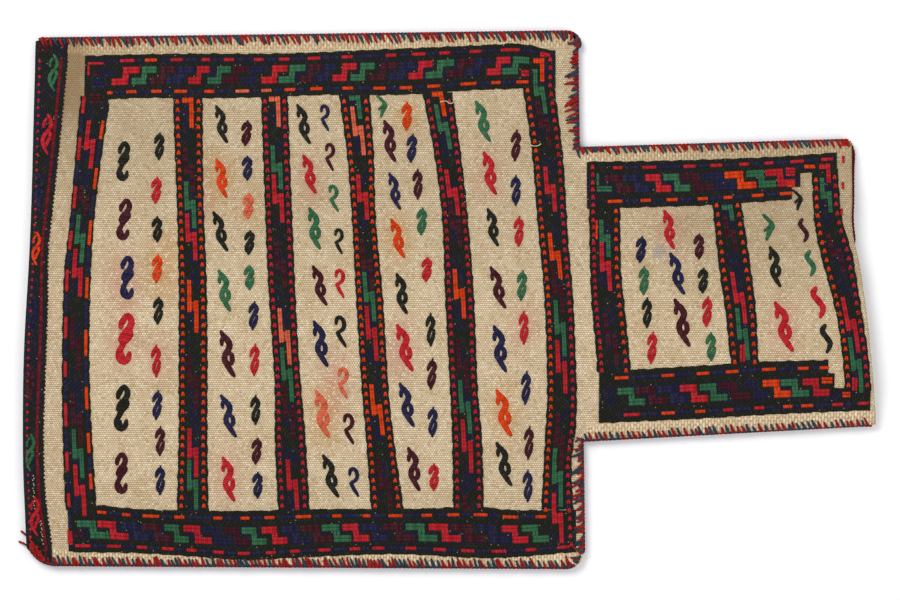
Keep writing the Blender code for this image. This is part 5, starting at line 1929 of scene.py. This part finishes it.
def fold_figures(figures):
    """What is worked on the band round the fold: a wine line with a toothed black edge beyond
    it, leaves of many colours, rows of pale specks, and red and navy dots along the fold."""
    line = edge_of(FOLD_LINE)

    def short(x, y, lean_x, lean_y):
        """Short yarns whose middles are at X, Y and whose far ends are a lean away."""
        return straight(np.stack([x - lean_x, y - lean_y], -1), np.stack([x + lean_x, y + lean_y], -1), 5)

    y = np.linspace(MM * 172, MM * -181, 190)[None, :]
    figures.add(["w"], np.stack([line(y), y], -1), FOLD_LINE_YARN, DASH_HIGH)
    y = np.arange(MM * -172, MM * 170, TOOTH_PITCH)
    x = line(y) + FOLD_EDGE
    tooth = straight(np.stack([x - 0.0012, y], -1), np.stack([x + 0.0010, y + 0.0004], -1), 5)
    figures.add(["k"] * len(y), tooth, TOOTH_YARN, DASH_HIGH, TOOTH_RISE)
    y = np.arange(MM * 168, MM * -170, -FOLD_DOT_PITCH)
    x = fold_x(y) - SHIFT + FOLD_DOTS_IN + 0.0002 * np.sin(np.arange(len(y)) * 1.9)
    figures.add(in_turn("rn", len(y)), short(x, y, -0.0002, -0.0013), FOLD_DOT_YARN,
                rise=ON_BAND, pitch=LONG_WRAP)
    for x0, y0, x1, y1, count in SPECK_RUNS:
        t, k = np.linspace(0, 1, count), np.arange(count)
        x = MM * (x0 + (x1 - x0) * t + 0.5 * np.sin(k * 2.1))
        y = MM * (y0 + (y1 - y0) * t + 0.4 * np.sin(k * 3.7))
        figures.add(["c"] * count, short(x, y, 0.0, -0.0006), SPECK_YARN, SPECK_HIGH,
                    FIGURE_RISE + 0.0004)
    hooks(figures, FOLD_LEAVES, LEAF_STRANDS, LEAF_LEAN, ON_BAND)


def make_camera():
    """The camera straight above the middle, framed so that the bag fills the width."""
    data = bpy.data.cameras.new("camera")
    data.sensor_width = SENSOR
    data.lens = SENSOR * CAMERA_HEIGHT / SHOWN_WIDTH
    data.clip_start = 0.05
    camera = bpy.data.objects.new("camera", data)
    camera.location = (*VIEW_CENTRE, CAMERA_HEIGHT)
    bpy.context.scene.collection.objects.link(camera)
    bpy.context.scene.camera = camera


def lamp(name, place, size, power):
    """A round soft light that faces the bag's middle."""
    data = bpy.data.lights.new(name, "AREA")
    data.shape = "DISK"
    data.size = size
    data.energy = power
    light = bpy.data.objects.new(name, data)
    x, y, z = place
    light.location = place
    light.rotation_euler = (math.atan2(math.hypot(x, y), z), 0.0, math.atan2(y, x) + math.pi / 2)
    bpy.context.scene.collection.objects.link(light)


def make_floor():
    """A pale floor that keeps the bag's shadow and reads as plain white to the camera."""
    side = 6.0
    points = np.array([(-side, -side, 0), (side, -side, 0), (side, side, 0), (-side, side, 0)])
    points = points + (0, 0, -0.0002)
    floor = new_mesh("floor", points, np.array([[0, 1, 2, 3]]))
    material, n, shader = wool("floor_white", 0.9)
    n.feed((0.90, 0.90, 0.90, 1.0), shader.inputs["Base Color"])
    floor.data.materials.append(material)


def make_world():
    """Soft light from all round; the camera itself sees plain white."""
    world = bpy.data.worlds.new("studio")
    bpy.context.scene.world = world
    world.use_nodes = True
    n = Nodes(world.node_tree)
    back = world.node_tree.nodes["Background"]
    path = n.add("ShaderNodeLightPath")
    seen = n.math("MAXIMUM", path.outputs["Is Camera Ray"], path.outputs["Is Glossy Ray"])
    n.feed(n.mix(seen, (0.95, 0.96, 1.0), (1.0, 1.0, 1.0)), back.inputs["Color"])
    n.feed(n.math("MULTIPLY_ADD", seen, 0.40, 0.60), back.inputs["Strength"])


def main():
    """Make every piece, say what each one rides and stands in for, and light the scene."""
    bpy.context.scene.view_settings.view_transform = "Standard"
    groups = {"bead": bead_group(), "fibre": fibre_group(), "spot": spot_group()}
    ground = ground_wool(groups)
    dark = band_wool(groups)
    dyed = {key: yarn_wool(groups, f"{name}_wool", colour)
            for key, (name, colour) in COLOURS.items()}
    cloth = dress(make_cloth(), ground, "woven_wool", "bag_cloth")
    bands = [dress(piece, dark, "band_wool") for piece in (*make_bands(), fold_band())]
    figures = make_figures(dyed)
    rng = np.random.default_rng(7)
    red = yarn_wool(groups, "binding_red_wool", BINDING_RED, BINDING_WRAP)
    teal = yarn_wool(groups, "binding_teal_wool", BINDING_TEAL, BINDING_WRAP)
    sewn = []
    for side, name in ((1, "left"), (-1, "right")):
        found = stitches(side, rng)
        node = f"{name}_side_stitching"
        held = rim(side, rng)
        for dye, material in (("red", red), ("teal", teal)):
            yarns = join([found[dye], *held[dye]])
            sewn.append(dress(new_mesh(f"{name}_{dye}_stitches", *yarns), material,
                              "stitching_wool", node))
    sewn.append(dress(new_mesh("loose_yarn_ends", *yarn_ends()), red, "stitching_wool"))
    sewn.append(dress(new_mesh("back_lip_binding", *back_lip()), dyed["w"], "stitching_wool"))
    sewn.append(dress(new_mesh("stray_threads", *stray_threads()), dyed["c"], "stitching_wool"))
    for piece in (cloth, *bands, *figures, *sewn):
        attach(piece, "root")
    make_camera()
    make_floor()
    make_world()
    lamp("key", (-0.9, 1.1, 1.9), 1.2, 34.0)
    lamp("fill", (1.2, -0.6, 1.8), 1.6, 14.0)


main()
